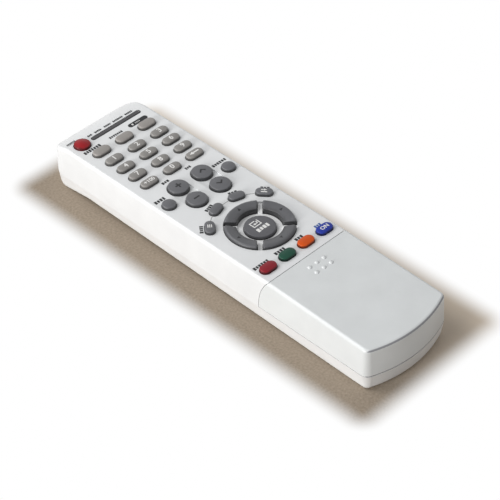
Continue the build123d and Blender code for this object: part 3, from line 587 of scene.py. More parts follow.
# %% Inks


def make_ink(name, colour):
    """Make a pad printing ink from one colour."""
    material, tree = new_material(name)
    tint = use_group(tree, colour_drift, Light=shade(colour), Dark=shade(colour, 0.8), Scale=1500.0)
    set_surface(tree, Base_Color=tint, Roughness=0.5, Specular_IOR_Level=0.25)
    return material


white_ink = make_ink("white ink", (0.85, 0.85, 0.84))
black_ink = make_ink("black ink", (0.022, 0.023, 0.025))
line_ink = make_ink("line ink", (0.27, 0.27, 0.27))
blue_ink = make_ink("blue ink", (0.05, 0.12, 0.35))
panel_ink = make_ink("panel ink", (0.05, 0.06, 0.065))
# A near black ink stands for engravings: painted shade where their grooves would be.
shadow_ink = make_ink("engraved mark", (0.03, 0.03, 0.032))
print("finishes in all:", len(bpy.data.materials))

# %% [markdown]
# These solids already have the real shape: both shells, the cover, the door, the mat, the board,
# the contacts and the windows. They could be modelled again here, but a copy would only drift away
# from the solid that moves in the physics. So they stay as they are and take their finish from
# this table. A solid's object is never moved, and only its material slot changes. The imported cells
# get a finish too, although the turned ones replace them below.

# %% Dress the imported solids
NODE_FINISHES = {
    "upper_case": case_white,
    "lower_case": tray_white,
    "battery_door": tray_white,
    "slide_cover": cover_white,
    "keypad_mat": mat_silicone,
    "circuit_board": solder_mask,
    "battery_contacts": nickel_plate,
    "batteries": nickel_plate,
    "tinted_windows": tinted_acrylic,
}
for node_name, finish in NODE_FINISHES.items():
    for slot in nodes[node_name].material_slots:
        slot.material = finish
print("dressed:", ", ".join(NODE_FINISHES))

# %% [markdown]
# A silicone key has a soft edge and a slightly domed top. It could be a cylinder with a Bevel
# modifier, but its top would stay flat. So a key is a lofted stack of outlines: plunger, flange,
# cap wall, rounded edge and crowned top. All the outlines of one key have the same number of
# points, so each pair of neighbours is joined by a band of quads, and the surface can be shaded
# smoothly. A long key's outline is a stadium, two half circles joined by straight sides, and a
# round key's is a circle.

# %% Helpers that loft a key
ARC_STEPS = 12
SAME_LENGTH = 0.01 * MM


def key_outline(half_length, half_width):
    """Return the points of a stadium, or of a circle, round the origin."""
    straight = half_length - half_width
    if straight < SAME_LENGTH:
        turns = [2 * pi * step / (4 * ARC_STEPS) for step in range(4 * ARC_STEPS)]
        return [(half_width * cos(turn), half_width * sin(turn)) for turn in turns]
    points = []
    for side, first in ((1, -pi / 2), (-1, pi / 2)):
        for step in range(ARC_STEPS + 1):
            turn = first + pi * step / ARC_STEPS
            points.append((side * straight + half_width * cos(turn), half_width * sin(turn)))
    return points


def loft(rings):
    """Join rings of points, each as long as the others, into a closed mesh and return its bmesh."""
    mesh = bmesh.new()
    rows = [[mesh.verts.new(point) for point in ring] for ring in rings]
    count = len(rows[0])
    for low, high in zip(rows, rows[1:]):
        for place in range(count):
            after = (place + 1) % count
            mesh.faces.new((low[place], low[after], high[after], high[place]))
    mesh.faces.new(list(reversed(rows[0])))
    mesh.faces.new(rows[-1])
    return mesh


print("points round a round key:", len(key_outline(MM, MM)))

# %% [markdown]
# A bmesh is only a mesh in memory. This helper makes an object of it, with a material, the body
# that it rides on and its material slot. Flat shading would show every face, and smooth shading
# alone would smear the light round sharp corners, so the surface is smooth and edges over a set
# angle stay sharp.

# %% Helper that finishes a piece


def finish_piece(name, mesh, material, body, smooth_angle=38):
    """Turn a bmesh into an object that rides on a body, smooth but for its sharp edges."""
    bmesh.ops.recalc_face_normals(mesh, faces=mesh.faces)
    data = bpy.data.meshes.new(name)
    mesh.to_mesh(data)
    mesh.free()
    data.shade_smooth()
    data.set_sharp_from_angle(angle=radians(smooth_angle))
    data.materials.append(material)
    piece = bpy.data.objects.new(name, data)
    scene.collection.objects.link(piece)
    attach(piece, body)
    return piece


# %% [markdown]
# The top of a key is described by one formula: how high the surface stands at a distance from the
# key's middle line. The height could be found by casting rays at the finished mesh, but a formula
# is exact, and it is used twice, for the loft's rings and to lay the printing on the crown. A
# key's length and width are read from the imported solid, whose flange is wider than its cap by a
# known edge. Only a key that stands turned needs its size written out.

# %% The surface of a key's top
FLANGE_EDGE = 0.7 * MM
PRINT_THICKNESS = 0.03 * MM
ROUND_WITHIN = 0.1 * MM


class KeyTop:
    """The place, turn, outline and crowned top of one key, in metres."""

    def __init__(self, name, crown, edge, size=None, turn=0.0):
        self.node = "key_" + name
        low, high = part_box(self.node)
        length, width = high.x - low.x, high.y - low.y - 2 * FLANGE_EDGE
        if abs(length - (high.y - low.y)) < ROUND_WITHIN:
            length = width
        if size:
            length, width = size
        self.x = (low.x + high.x) / 2
        self.y = (low.y + high.y) / 2
        self.foot = low.z
        self.top = high.z - PRINT_THICKNESS
        self.half_length = length / 2
        self.half_width = width / 2
        self.turn = radians(turn)
        self.crown = crown * MM
        self.edge = edge * MM

    def height_at(self, reach):
        """Return the surface's height at a distance from the middle line."""
        flat = self.half_width - self.edge
        if reach <= flat:
            return self.top - self.crown * (reach / self.half_width) ** 2
        shoulder = self.top - self.crown * (flat / self.half_width) ** 2
        over = min((reach - flat) / self.edge, 1.0)
        return shoulder - self.edge + self.edge * sqrt(1 - over**2)

    def place(self, x, y):
        """Return a point of the key's own plane in the object's frame."""
        along, across = cos(self.turn), sin(self.turn)
        return (self.x + x * along - y * across, self.y + x * across + y * along)

    def height_over(self, x, y):
        """Return the surface's height over a point of the key's own plane."""
        beyond = max(abs(x) - (self.half_length - self.half_width), 0.0)
        return self.height_at(hypot(beyond, y))


print("a flange is wider than its cap by", round(FLANGE_EDGE / MM, 2), "mm")

# %% [markdown]
# From the foot up, a key is a thin plunger, a flange that holds it under the case, and a cap whose
# wall ends in the rounded edge. What the case hides could be left out, but then the key would be an
# open shell that stands on nothing. Short keys have no room for a plunger.

# %% Helper that models a key
FLANGE_THICKNESS = 0.8 * MM
PLUNGER = 1.5 * MM
EDGE_STEPS = 6
CROWN_SHARES = (0.75, 0.5, 0.3, 0.15)
LEAST_STRAIGHT = 0.1 * MM


def make_key(key, finish, flange_top):
    """Model one key from its plunger to its crown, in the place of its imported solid."""
    tops[key.node] = key
    flange_bottom = flange_top - FLANGE_THICKNESS
    is_round = key.half_length == key.half_width
    wide = key.half_width + FLANGE_EDGE
    flange_half = wide if is_round else key.half_length
    levels = []
    if flange_bottom - key.foot > FLANGE_THICKNESS:
        levels = [(PLUNGER, PLUNGER, key.foot), (PLUNGER, PLUNGER, flange_bottom)]
    levels += [(flange_half, wide, flange_bottom), (flange_half, wide, flange_top)]
    levels.append((key.half_length, key.half_width, flange_top))
    slants = [pi / 2 * (1 - step / EDGE_STEPS) for step in range(EDGE_STEPS + 1)]
    insets = [key.edge * (1 - sin(slant)) for slant in slants]
    insets += [key.half_width - (key.half_width - key.edge) * share for share in CROWN_SHARES]
    for inset in insets:
        reach = key.half_width - inset
        levels.append((key.half_length - inset, reach, key.height_at(reach)))
    rings = []
    for half_length, half_width, height in levels:
        straight = 0 if is_round else max(half_length - half_width, LEAST_STRAIGHT)
        outline = key_outline(half_width + straight, half_width)
        rings.append([(*key.place(x, y), height) for x, y in outline])
    piece = finish_piece(key.node + "_moulding", loft(rings), finish, key.node)
    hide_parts(key.node)


tops = {}
print("levels of a crown:", EDGE_STEPS + 1 + len(CROWN_SHARES))

# %% [markdown]
# The plain keys are one form in many sizes. Each could be modelled by hand, but a table and a loop
# keep them alike, as one mould does. A group gives its names, the height of the crown and the
# radius of the edge in millimetres, its finish, its slot and the level of its flange.

# %% Model the plain keys
FACE_FLANGE = FACE - 2.1 * MM
PANEL_FLANGE = PANEL_TOP - 1.6 * MM
DISH_FLANGE = FACE - 3.7 * MM
NUMBER_KEYS = "1 2 3 4 5 6 7 8 9 hundred 0 previous"
ROUND_KEYS = "volume_up volume_down channel_up channel_down mute source"
PANEL_KEYS = ("audio caption zoom search_up device disc_menu eject search_down "
              "rewind stop play forward record pause skip_back skip_forward")
KEY_GROUPS = (
    (NUMBER_KEYS, 0.5, 0.95, "number", "key_grey", FACE_FLANGE),
    ("input timer picture_size", 0.4, 0.85, "wide", "key_light_grey", FACE_FLANGE),
    (ROUND_KEYS, 0.6, 0.75, "dark", "key_dark_grey", FACE_FLANGE),
    ("red", 0.5, 0.6, "rubber red", "key_colour_red", FACE_FLANGE),
    ("green", 0.5, 0.6, "rubber green", "key_colour_green", FACE_FLANGE),
    ("orange", 0.5, 0.6, "rubber orange", "key_colour_orange", FACE_FLANGE),
    ("blue", 0.5, 0.6, "rubber blue", "key_colour_blue", FACE_FLANGE),
    (PANEL_KEYS, 0.4, 0.4, "panel", "key_light_grey", PANEL_FLANGE),
    ("power", 1.0, 0.6, "power red", "key_red_plastic", FACE_FLANGE),
    ("enter", 0.4, 0.6, "enter", "key_dark_grey", DISH_FLANGE),
)
for names, crown, edge, finish, slot, flange in KEY_GROUPS:
    for name in names.split():
        make_key(KeyTop(name, crown, edge), finishes[finish], flange)
print("plain keys:", len(tops))

# %% [markdown]
# The four keys on the arc stand turned about the ring's centre. Each turn could be typed in, but
# it follows from where the key stands. The box of a turned key is larger than its cap, so here the
# size of the cap is written out.

# %% Model the keys on the arc
ARC_KEY_LENGTH = 8.4 * MM
ARC_KEY_WIDTH = 4.8 * MM
ARC_KEY_CROWN = 0.4
ARC_KEY_EDGE = 0.6

arc_keys = []
for name in ("exit", "info", "guide", "menu"):
    low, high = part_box("key_" + name)
    middle = (low + high) / 2
    turn = degrees(atan2(middle.y - ring_centre.y, middle.x - ring_centre.x)) - 90
    size = (ARC_KEY_LENGTH, ARC_KEY_WIDTH)
    arc_keys.append(KeyTop(name, ARC_KEY_CROWN, ARC_KEY_EDGE, size, turn))
    make_key(arc_keys[-1], finishes["dark"], FACE_FLANGE)
print("keys with those on the arc:", len(tops))

# %% [markdown]
# The ring is four rubber keys, cut on the diagonals with a gap of constant width. A whole ring
# could be cut in four by a Boolean modifier, but that leaves sharp edges at the cuts. So each key
# is a closed section swept round the centre. The section leans inwards on top, and near both ends
# it shrinks by a small amount along a quarter circle, which rounds the end edges.

# %% The ring's section
RING_INNER = 10.9 * MM
RING_EDGE = 1.3 * MM
RING_LIP = 0.5 * MM
RING_EDGE_STEPS = 6
RING_LIP_STEPS = 4
RING_TOP_SHARES = (0.85, 0.7, 0.55, 0.4, 0.25, 0.1)
ring_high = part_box("key_up")[1]
RING_OUTER = ring_high.y - ring_centre.y - FLANGE_EDGE
RING_TOP = ring_high.z
RING_INNER_TOP = FACE + 0.9 * MM


def ring_height(radius):
    """Return the height of the ring's top at a radius: it leans inwards and is a little crowned."""
    share = (radius - RING_INNER) / (RING_OUTER - RING_INNER)
    share = min(max(share, 0.0), 1.0)
    return RING_INNER_TOP + (RING_TOP - RING_INNER_TOP) * sin(pi / 2 * share) - PRINT_THICKNESS


def ring_section(inset):
    """Return the section of a ring key as radius and height, drawn in by an inset."""
    inner, outer = RING_INNER + inset, RING_OUTER - inset
    points = [(inner, FACE_FLANGE), (outer, FACE_FLANGE)]
    crest = ring_height(RING_OUTER - RING_EDGE) - inset
    for step in range(RING_EDGE_STEPS + 1):
        turn = pi / 2 * step / RING_EDGE_STEPS
        radius = outer - RING_EDGE + RING_EDGE * cos(turn)
        points.append((radius, crest - RING_EDGE + RING_EDGE * sin(turn)))
    for share in RING_TOP_SHARES:
        radius = inner + RING_LIP + share * (outer - RING_EDGE - inner - RING_LIP)
        points.append((radius, ring_height(radius) - inset))
    lip = ring_height(inner + RING_LIP) - inset
    for step in range(RING_LIP_STEPS + 1):
        turn = pi / 2 * (1 + step / RING_LIP_STEPS)
        radius = inner + RING_LIP + RING_LIP * cos(turn)
        points.append((radius, lip - RING_LIP + RING_LIP * sin(turn)))
    return points


print("ring keys: outer radius", round(RING_OUTER / MM, 2), "mm")

# %% [markdown]
# A station of the sweep is its share of the quarter, from -1 to 1, with how far the section is
# drawn in there and how far the station stands back from the cut. The five stations at each end
# follow a quarter circle, and the sixteen between them are whole sections. A cut could follow a
# radius, but a gap of constant width takes a larger angle near the centre than at the rim, so each
# point's angle is worked out from its own radius.

# %% Model the ring keys
RING_SPLIT = 2.6 * MM
RING_END_EDGE = 0.6 * MM
END_STEPS = 4
MIDDLE_STATIONS = 16

slants = [pi / 2 * step / END_STEPS for step in range(END_STEPS + 1)]
ends = [(RING_END_EDGE * (1 - sin(slant)), RING_END_EDGE * (1 - cos(slant))) for slant in slants]
stations = [(-1.0, *end) for end in ends]
for step in range(MIDDLE_STATIONS):
    stations.append((-1 + 2 * (step + 1) / (MIDDLE_STATIONS + 1), 0.0, 0.0))
stations += [(1.0, *end) for end in reversed(ends)]
ring_keys = {"key_right": 0, "key_up": 90, "key_left": 180, "key_down": 270}
for node, turn in ring_keys.items():
    rings = []
    for share, inset, back in stations:
        ring = []
        for radius, height in ring_section(inset):
            half_angle = pi / 4 - asin((RING_SPLIT / 2 + back) / radius)
            angle = radians(turn) + share * half_angle
            x, y = ring_centre.x + radius * cos(angle), ring_centre.y + radius * sin(angle)
            ring.append((x, y, height))
        rings.append(ring)
    piece = finish_piece(node + "_moulding", loft(rings), finishes["ring"], node)
    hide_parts(node)
print("stations of a ring key:", len(stations))

# %% [markdown]
# Printing is thin ink. It could be an image on the surface, but that is only as sharp as its
# pixels. So each mark is a closed plate three hundredths of a millimetre thick, laid on its
# surface point by point. On a crowned key it is first cut on a fine square grid, or its long faces
# would pass under the crown between their corners.

# %% Helpers that cut and lay ink
SLICE = 0.35 * MM


def slice_flat(mesh):
    """Cut a flat mesh on a square grid, so that it can follow a curved surface."""
    for axis in (0, 1):
        values = [vert.co[axis] for vert in mesh.verts]
        for line in range(round(min(values) / SLICE), round(max(values) / SLICE) + 1):
            origin, normal = Vector((0, 0, 0)), Vector((0, 0, 0))
            origin[axis] = line * SLICE
            normal[axis] = 1.0
            parts = [*mesh.verts, *mesh.edges, *mesh.faces]
            bmesh.ops.bisect_plane(mesh, geom=parts, plane_co=origin, plane_no=normal)


def lay_print(name, mesh, place, height, ink, body):
    """Lay a flat mesh as ink: place maps a flat point, and height gives the surface under it."""
    for vert in mesh.verts:
        lift = PRINT_THICKNESS if vert.co.z > 0 else 0.0
        flat = (vert.co.x, vert.co.y)
        vert.co = Vector((*place(*flat), height(*flat) + lift))
    finish_piece(name, mesh, ink, body, smooth_angle=20)


print("ink thickness:", PRINT_THICKNESS / MM, "mm")

# %% [markdown]
# A mark starts flat and one unit thick, from a list of closed outlines. It could be drawn in place
# on each surface, but a flat mark is easier to describe, to size and to shift. The two functions
# that print differ only in where they lay it: on a key's crown, or on a flat face of the case.

# %% Helpers that print outlines


def build_plates(outlines, size=1.0, x=0.0, y=0.0):
    """Return a flat mesh of closed plates, one unit thick, with these outlines and place."""
    mesh = bmesh.new()
    for outline in outlines:
        low = [mesh.verts.new((x * size, y * size, 0)) for x, y in outline]
        high = [mesh.verts.new((x * size, y * size, 1)) for x, y in outline]
        mesh.faces.new(high)
        mesh.faces.new(list(reversed(low)))
        for corner in range(len(outline)):
            after = (corner + 1) % len(outline)
            mesh.faces.new((low[corner], low[after], high[after], high[corner]))
    bmesh.ops.translate(mesh, verts=mesh.verts, vec=(x, y, 0))
    return mesh


def print_on_key(name, outlines, size, ink, x=0.0, y=0.0, suffix="print"):
    """Print outlines on a key's crown."""
    key = tops["key_" + name]
    mesh = build_plates(outlines, size, x, y)
    slice_flat(mesh)
    lay_print(f"{key.node}_{suffix}", mesh, key.place, key.height_over, ink, key.node)


def print_on_case(name, outlines, x=0.0, y=0.0, ink=None, level=FACE, size=1.0, place=None):
    """Print outlines on a flat face of the case, in black where no other ink is named."""
    mesh = build_plates(outlines, size, x, y)
    place = place or (lambda u, v: (u, v))
    lay_print(name, mesh, place, lambda u, v: level, ink or black_ink, "root")


print("key tops to print on:", len(tops))

# %% [markdown]
# The marks are plain signs, put together from three shapes: a bar, a triangle and an arrowhead.
# They could come from a font of symbols, but that would be one more file to carry along, so each
# shape is an outline in a unit square.

# %% Shapes of the marks


def bar(x0, y0, x1, y1, width):
    """Return the outline of a straight stroke."""
    run = Vector((x1 - x0, y1 - y0))
    side = Vector((-run.y, run.x)).normalized() * width / 2
    ends = ((x0, y0, 1), (x0, y0, -1), (x1, y1, -1), (x1, y1, 1))
    return [(x + sign * side.x, y + sign * side.y) for x, y, sign in ends]


def wedge(x, y, size, direction):
    """Return the outline of a solid triangle that points along x by its direction's sign."""
    half = size / 2
    back, tip = x - direction * half, x + direction * half
    return [(back, y - half), (tip, y), (back, y + half)]


def chevron(direction):
    """Return the outline of an open arrowhead that points along y by its direction's sign."""
    points = ((-0.58, -0.17), (-0.42, -0.35), (0, 0.04), (0.42, -0.35), (0.58, -0.17), (0, 0.37))
    return [(x, direction * y) for x, y in points]


print("points of an arrowhead:", len(chevron(1)))

# %% [markdown]
# Where a word would stand there is a row of plain blocks. Mixed letters could fill the place, but
# they might still spell something, and blocks say nothing. They have two widths and three heights
# by turns, so that the row looks like type from a step away.

# %% Rows of blocks
LETTER_PITCH = 0.78
BLOCK_HEIGHTS = (0.5, 0.42, 0.47)
BLOCK_WIDTHS = (0.8, 0.68)


def word_blocks(length, letter):
    """Return a row of blocks, as long as the word that it stands for, round the origin."""
    count = max(2, round(length / (letter * LETTER_PITCH)))
    step = length / count
    outlines = []
    for place in range(count):
        middle = (place - (count - 1) / 2) * step
        tall = letter * BLOCK_HEIGHTS[place % len(BLOCK_HEIGHTS)]
        wide = step * BLOCK_WIDTHS[place % len(BLOCK_WIDTHS)]
        outlines.append(bar(middle, -tall, middle, tall, wide))
    return outlines


print("blocks for a word of five letters:", len(word_blocks(5 * LETTER_PITCH, 1.0)))

# %% [markdown]
# Each mark is a list of outlines round its own middle. Every mark could have a function, but most
# are only one to three shapes, so one table holds them all. Beside plain numbers and ON, only
# signs that all remotes share are printed.

# %% The marks
MARKS = {
    "plus": [bar(-0.5, 0, 0.5, 0, 0.26), bar(0, 0.13, 0, 0.5, 0.26), bar(0, -0.5, 0, -0.13, 0.26)],
    "minus": [bar(-0.5, 0, 0.5, 0, 0.26)],
    "up": [chevron(1)],
    "down": [chevron(-1)],
    "play": [wedge(-0.35, 0, 0.7, 1), *[bar(x, -0.35, x, 0.35, 0.14) for x in (0.2, 0.48)]],
    "forward": [wedge(-0.3, 0, 0.62, 1), wedge(0.33, 0, 0.62, 1)],
    "rewind": [wedge(-0.33, 0, 0.62, -1), wedge(0.3, 0, 0.62, -1)],
    "stop": [bar(-0.32, 0, 0.32, 0, 0.64)],
    "enter": [
        bar(-0.62, 0.45, 0.2, 0.45, 0.13), bar(-0.55, 0.38, -0.55, -0.45, 0.13),
        bar(-0.48, -0.38, 0.48, -0.38, 0.13), bar(0.55, 0.52, 0.55, -0.45, 0.13),
        bar(0.3, 0.3, 0.3, 0.07, 0.13), bar(0.36, 0.0, -0.03, 0.0, 0.13),
        wedge(-0.22, 0.0, 0.36, -1),
    ],
    "menu": [bar(-0.4, y, 0.4, y, 0.16) for y in (-0.32, 0, 0.32)],
    "exit": [
        wedge(0.2, 0.12, 0.5, 1), bar(-0.5, 0.12, -0.1, 0.12, 0.2),
        bar(-0.5, -0.36, 0.5, -0.36, 0.16),
    ],
    "back": [wedge(-0.55, 0, 0.62, -1), bar(-0.24, 0, 0.8, 0, 0.22)],
    "point": [wedge(0, 0, 1.0, 1)],
}
print("marks:", ", ".join(MARKS))

# %% [markdown]
# Each entry names a key, its mark and the mark's size in millimetres, and the enter key's also
# gives how far its mark stands from the key's middle. The white marks are printed. The dark ones
# stand for shallow engraving, which could be cut into the key. Here the shade in its groove is
# painted instead, as a dark sign.

# %% Print the marks on the keys
WHITE_MARKS = (
    ("rewind", "rewind", 2.4), ("stop", "stop", 2.4), ("play", "play", 2.4),
    ("forward", "forward", 2.4), ("search_up", "up", 2.2), ("search_down", "down", 2.2),
    ("previous", "back", 3.4), ("enter", "enter", 4.0, -0.6, 2.3), ("menu", "menu", 2.6),
    ("exit", "exit", 3.0),
)
DARK_MARKS = (
    ("volume_up", "plus", 3.4), ("volume_down", "minus", 3.4),
    ("channel_up", "up", 3.4), ("channel_down", "down", 3.4),
)
ENTER_WORD_LENGTH = 7.6 * MM
ENTER_WORD_LETTER = 2.3 * MM
ENTER_WORD_DROP = 1.9 * MM

for ink, marks in ((white_ink, WHITE_MARKS), (shadow_ink, DARK_MARKS)):
    for name, mark, size, *shift in marks:
        print_on_key(name, MARKS[mark], size * MM, ink, *[value * MM for value in shift])
enter_word = word_blocks(ENTER_WORD_LENGTH, ENTER_WORD_LETTER)
print_on_key("enter", enter_word, 1.0, white_ink, y=-ENTER_WORD_DROP, suffix="blocks")
print("marks on keys:", len(WHITE_MARKS) + len(DARK_MARKS))

# %% [markdown]
# Each ring key has a small dark arrowhead in its middle, which is painted shade standing for an
# engraving. Four arrowheads could be drawn, one for each direction, but a single one turned about
# the ring's centre is less to keep alike. The ring's top isn't a KeyTop, but it leans inwards
# evenly, so its height follows from the radius alone.

# %% Print the ring's arrowheads
RING_MARK = 1.7 * MM


def print_on_ring(node, turn):
    """Print an arrowhead that points away from the ring's centre."""
    middle = (RING_INNER + RING_OUTER) / 2
    along, across = cos(radians(turn)), sin(radians(turn))
    mesh = build_plates(MARKS["point"], RING_MARK)
    slice_flat(mesh)

    def place(u, v):
        out = middle + u
        x, y = out * along - v * across, out * across + v * along
        return ring_centre.x + x, ring_centre.y + y

    def height(u, v):
        return ring_height(hypot(middle + u, v))

    lay_print(f"{node}_print", mesh, place, height, shadow_ink, node)


for node, turn in ring_keys.items():
    print_on_ring(node, turn)
print("marks on the ring:", len(ring_keys))

# %% [markdown]
# The number keys have white numbers, and the blue key says ON. They could be built from bars like
# the marks, but round digits need real curves, so they come from a text curve in Blender's own
# font. The curve is filled and thickened at a size of one metre, where its tessellation is exact,
# then scaled, cut on the grid and laid on the crown.

# %% Print the numbers
LETTER_WEIGHT = 0.02
LETTER_DEPTH = 0.01
LETTER_STEPS = 4
SAME_POINT = 0.0005
DIGIT_SIZE = 4.1 * MM
SMALL_TEXT_SIZE = 3.0 * MM


def print_text(name, words, size):
    """Print plain numbers, or ON, in the middle of a key."""
    key = tops["key_" + name]
    curve = bpy.data.curves.new(key.node + "_text", "FONT")
    curve.body = words
    curve.offset = LETTER_WEIGHT
    curve.extrude = LETTER_DEPTH
    curve.resolution_u = LETTER_STEPS
    holder = bpy.data.objects.new(curve.name, curve)
    scene.collection.objects.link(holder)
    depsgraph = bpy.context.evaluated_depsgraph_get()
    solid = bpy.data.meshes.new_from_object(holder.evaluated_get(depsgraph))
    bpy.data.objects.remove(holder)
    columns, rows = zip(*[(vert.co.x, vert.co.y) for vert in solid.vertices])
    middle_x, middle_y = (min(columns) + max(columns)) / 2, (min(rows) + max(rows)) / 2
    mesh = bmesh.new()
    mesh.from_mesh(solid)
    bmesh.ops.remove_doubles(mesh, verts=mesh.verts, dist=SAME_POINT)
    for vert in mesh.verts:
        x, y, z = vert.co
        vert.co = Vector(((x - middle_x) * size, (y - middle_y) * size, max(z, 0)))
    slice_flat(mesh)
    lay_print(f"{key.node}_print", mesh, key.place, key.height_over, white_ink, key.node)


for digit in "0123456789":
    print_text(digit, digit, DIGIT_SIZE)
print_text("hundred", "+100", SMALL_TEXT_SIZE)
print_text("blue", "ON", SMALL_TEXT_SIZE)
printed = [thing for thing in bpy.data.objects if thing.name.endswith("_print")]
print("printed keys:", len(printed))

# %% [markdown]
# The case is printed beside the keys. Words could be typed there, as the numbers are, but a remote
# without them suits any scene. So a word's place is held by a row of small plain blocks of about a
# letter's size, which say nothing. Each entry gives the row's middle, its length and its letter's
# height in millimetres, measured on the key face.

# %% Print the case's face
CASE_LABELS = (
    ("mode_1", -10.0, 93.8, 2.7, 1.15), ("mode_2", -4.9, 93.7, 4.1, 1.15),
    ("mode_3", 1.2, 93.7, 4.1, 1.15), ("mode_4", 8.0, 93.7, 6.2, 1.15),
    ("mode_5", 15.0, 93.6, 4.6, 1.15), ("power_label", -20.2, 95.9, 5.2, 1.0),
    ("input_label", -16.2, 84.8, 10.4, 2.0), ("timer_label", -0.8, 85.1, 8.4, 1.5),
    ("channel_label", 6.0, 41.7, 3.4, 1.7), ("volume_label", -8.8, 41.5, 4.4, 1.7),
    ("source_label", 18.7, 33.7, 8.8, 1.8), ("mute_label", -19.8, 33.5, 6.4, 2.1),
    ("red_label", -18.7, -31.6, 9.4, 1.9), ("green_label", -6.3, -31.2, 6.4, 1.9),
    ("orange_label", 6.1, -31.1, 4.8, 1.9), ("blue_label", 18.2, -31.4, 4.0, 1.8),
)
ARC_LABEL_LENGTHS = (4.6, 4.8, 5.6, 5.4)
ARC_LABEL_LETTER = 1.8 * MM
ARC_LABEL_RISE = 1.5 * MM

for name, x, y, length, letter in CASE_LABELS:
    ink = blue_ink if name == "blue_label" else black_ink
    print_on_case(name, word_blocks(length * MM, letter * MM), x * MM, y * MM, ink)
for key, length in zip(arc_keys, ARC_LABEL_LENGTHS):
    above = key.half_width + ARC_LABEL_RISE
    blocks = word_blocks(length * MM, ARC_LABEL_LETTER)
    print_on_case(key.node + "_label", blocks, y=above, place=key.place)
print("labels on the case:", len(CASE_LABELS) + len(arc_keys))

# %% [markdown]
# A dark pill stands over the third wide key, with a pale mark in it: one block and four thin bars.
# The mark could be a hole in the pill that lets the white case through, but a plate here has no
# holes. So it is a second ink, one thickness above the first, and no two faces share a level.

# %% Print the pill
PILL_X = 13.6 * MM
PILL_Y = 85.1 * MM
PILL_HALF_LENGTH = 6.0 * MM
PILL_HALF_WIDTH = 1.45 * MM

pill_marks = [bar(x, 0, x + 0.3, 0, 0.8) for x in (-1.7, -0.9, -0.1, 0.7)]
pill_marks.insert(0, bar(-3.9, 0, -3.0, 0, 1.2))
pill = key_outline(PILL_HALF_LENGTH, PILL_HALF_WIDTH)
print_on_case("size_pill", [pill], PILL_X, PILL_Y)
print_on_case("size_pill_mark", pill_marks, PILL_X, PILL_Y, white_ink, FACE + PRINT_THICKNESS, MM)
print("bars in the pill:", len(pill_marks))

# %% [markdown]
# The mode light's lens stands in a dark printed border with round ends, wider on its near side. It
# could be one outline with a hole, but a plate here has no holes, so it is two open halves that
# meet at the ends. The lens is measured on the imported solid, so that the border fits it.

# %% Print the mode light's border
BORDER_WIDTH = 0.5 * MM
BORDER_END = 0.7 * MM
BORDER_SHIFT = 0.2 * MM
LENS_CLEARANCE = 0.1 * MM

windows = bpy.data.objects["tinted_windows"].data
lens = [vert.co for vert in windows.vertices if vert.co.z > FACE - 0.1 * MM]
lens_low = Vector((min(point.x for point in lens), min(point.y for point in lens)))
lens_high = Vector((max(point.x for point in lens), max(point.y for point in lens)))
lens_middle = (lens_low + lens_high) / 2
half_x, half_y = (lens_high - lens_low) / 2 + Vector((LENS_CLEARANCE, LENS_CLEARANCE))
around = key_outline(half_x + BORDER_END, half_y + BORDER_WIDTH)
right, left = ARC_STEPS // 2, ARC_STEPS + 1 + ARC_STEPS // 2
near_y, far_y = BORDER_SHIFT - half_y, BORDER_SHIFT + half_y
far_half = around[right:left + 1]
far_half += [(-half_x, 0), (-half_x, far_y), (half_x, far_y), (half_x, 0)]
near_half = around[left:] + around[:right + 1]
near_half += [(half_x, 0), (half_x, near_y), (-half_x, near_y), (-half_x, 0)]
halves = [far_half, near_half]
print_on_case("mode_light_border", halves, lens_middle.x, lens_middle.y - BORDER_SHIFT)
print("mode light:", round(half_x * 2 / MM, 1), "by", round(half_y * 2 / MM, 1), "mm")

# %% [markdown]
# A thin grey line joins the keys on the arc: three stretches of one circle about the ring. A curve
# with a bevel could draw it, but that makes a round wire. So each stretch is a closed thin plate,
# like the rest of the printing.

# %% Print the arc line
ARC_LINE = 0.3 * MM
ARC_LINE_STEPS = 24
ARC_LINE_GAP = 0.5 * MM


def arc_outline(radius, first, last):
    """Return the outline of a thin arc round the ring's centre."""
    share = (last - first) / ARC_LINE_STEPS
    turns = [first + share * step for step in range(ARC_LINE_STEPS + 1)]
    outer, inner = radius + ARC_LINE / 2, radius - ARC_LINE / 2
    points = [(outer * cos(turn), outer * sin(turn)) for turn in turns]
    points += [(inner * cos(turn), inner * sin(turn)) for turn in reversed(turns)]
    return [(x + ring_centre.x, y + ring_centre.y) for x, y in points]


arc_places = [(key.x - ring_centre.x, key.y - ring_centre.y) for key in arc_keys]
arc_radius = hypot(*arc_places[0])
arc_angles = [atan2(y, x) for x, y in arc_places]
key_half = (ARC_KEY_LENGTH / 2 + ARC_LINE_GAP) / arc_radius
arc_lines = []
for first, last in zip(arc_angles, arc_angles[1:]):
    arc_lines.append(arc_outline(arc_radius, first + key_half, last - key_half))
print_on_case("arc_line", arc_lines, ink=line_ink)
print("arc line at radius", round(arc_radius / MM, 2), "mm")

# %% [markdown]
# The panel under the cover has its own labels, which show once the cover is slid open: a short
# dark row above each key, and a longer group below the last row but one, at the edge that the open
# cover leaves free. They could be measured one by one, as on the case, but they follow the keys,
# so each entry names its key, with the row's length, its letter's height, and how far aside and
# above the key it stands, in millimetres.

# %% Print the panel's labels
PANEL_LABELS = [(name, 4.6, 0.9, -0.4, 1.0) for name in PANEL_KEYS.split()[:12]]
PANEL_LABELS += [("record", 4.0, 1.2, 0.0, 3.0), ("pause", 5.0, 1.2, 0.0, 3.0)]
PANEL_LABELS += [("skip_back", 7.0, 1.2, 0.0, 3.0), ("skip_forward", 7.0, 1.2, 0.0, 3.0)]
for name, length, letter, aside, above in PANEL_LABELS:
    key = tops["key_" + name]
    x, y = key.x + aside * MM, key.y + key.half_width + above * MM
    blocks = word_blocks(length * MM, letter * MM)
    print_on_case(key.node + "_label", blocks, x, y, panel_ink, PANEL_TOP)
print("labels on the panel:", len(PANEL_LABELS))

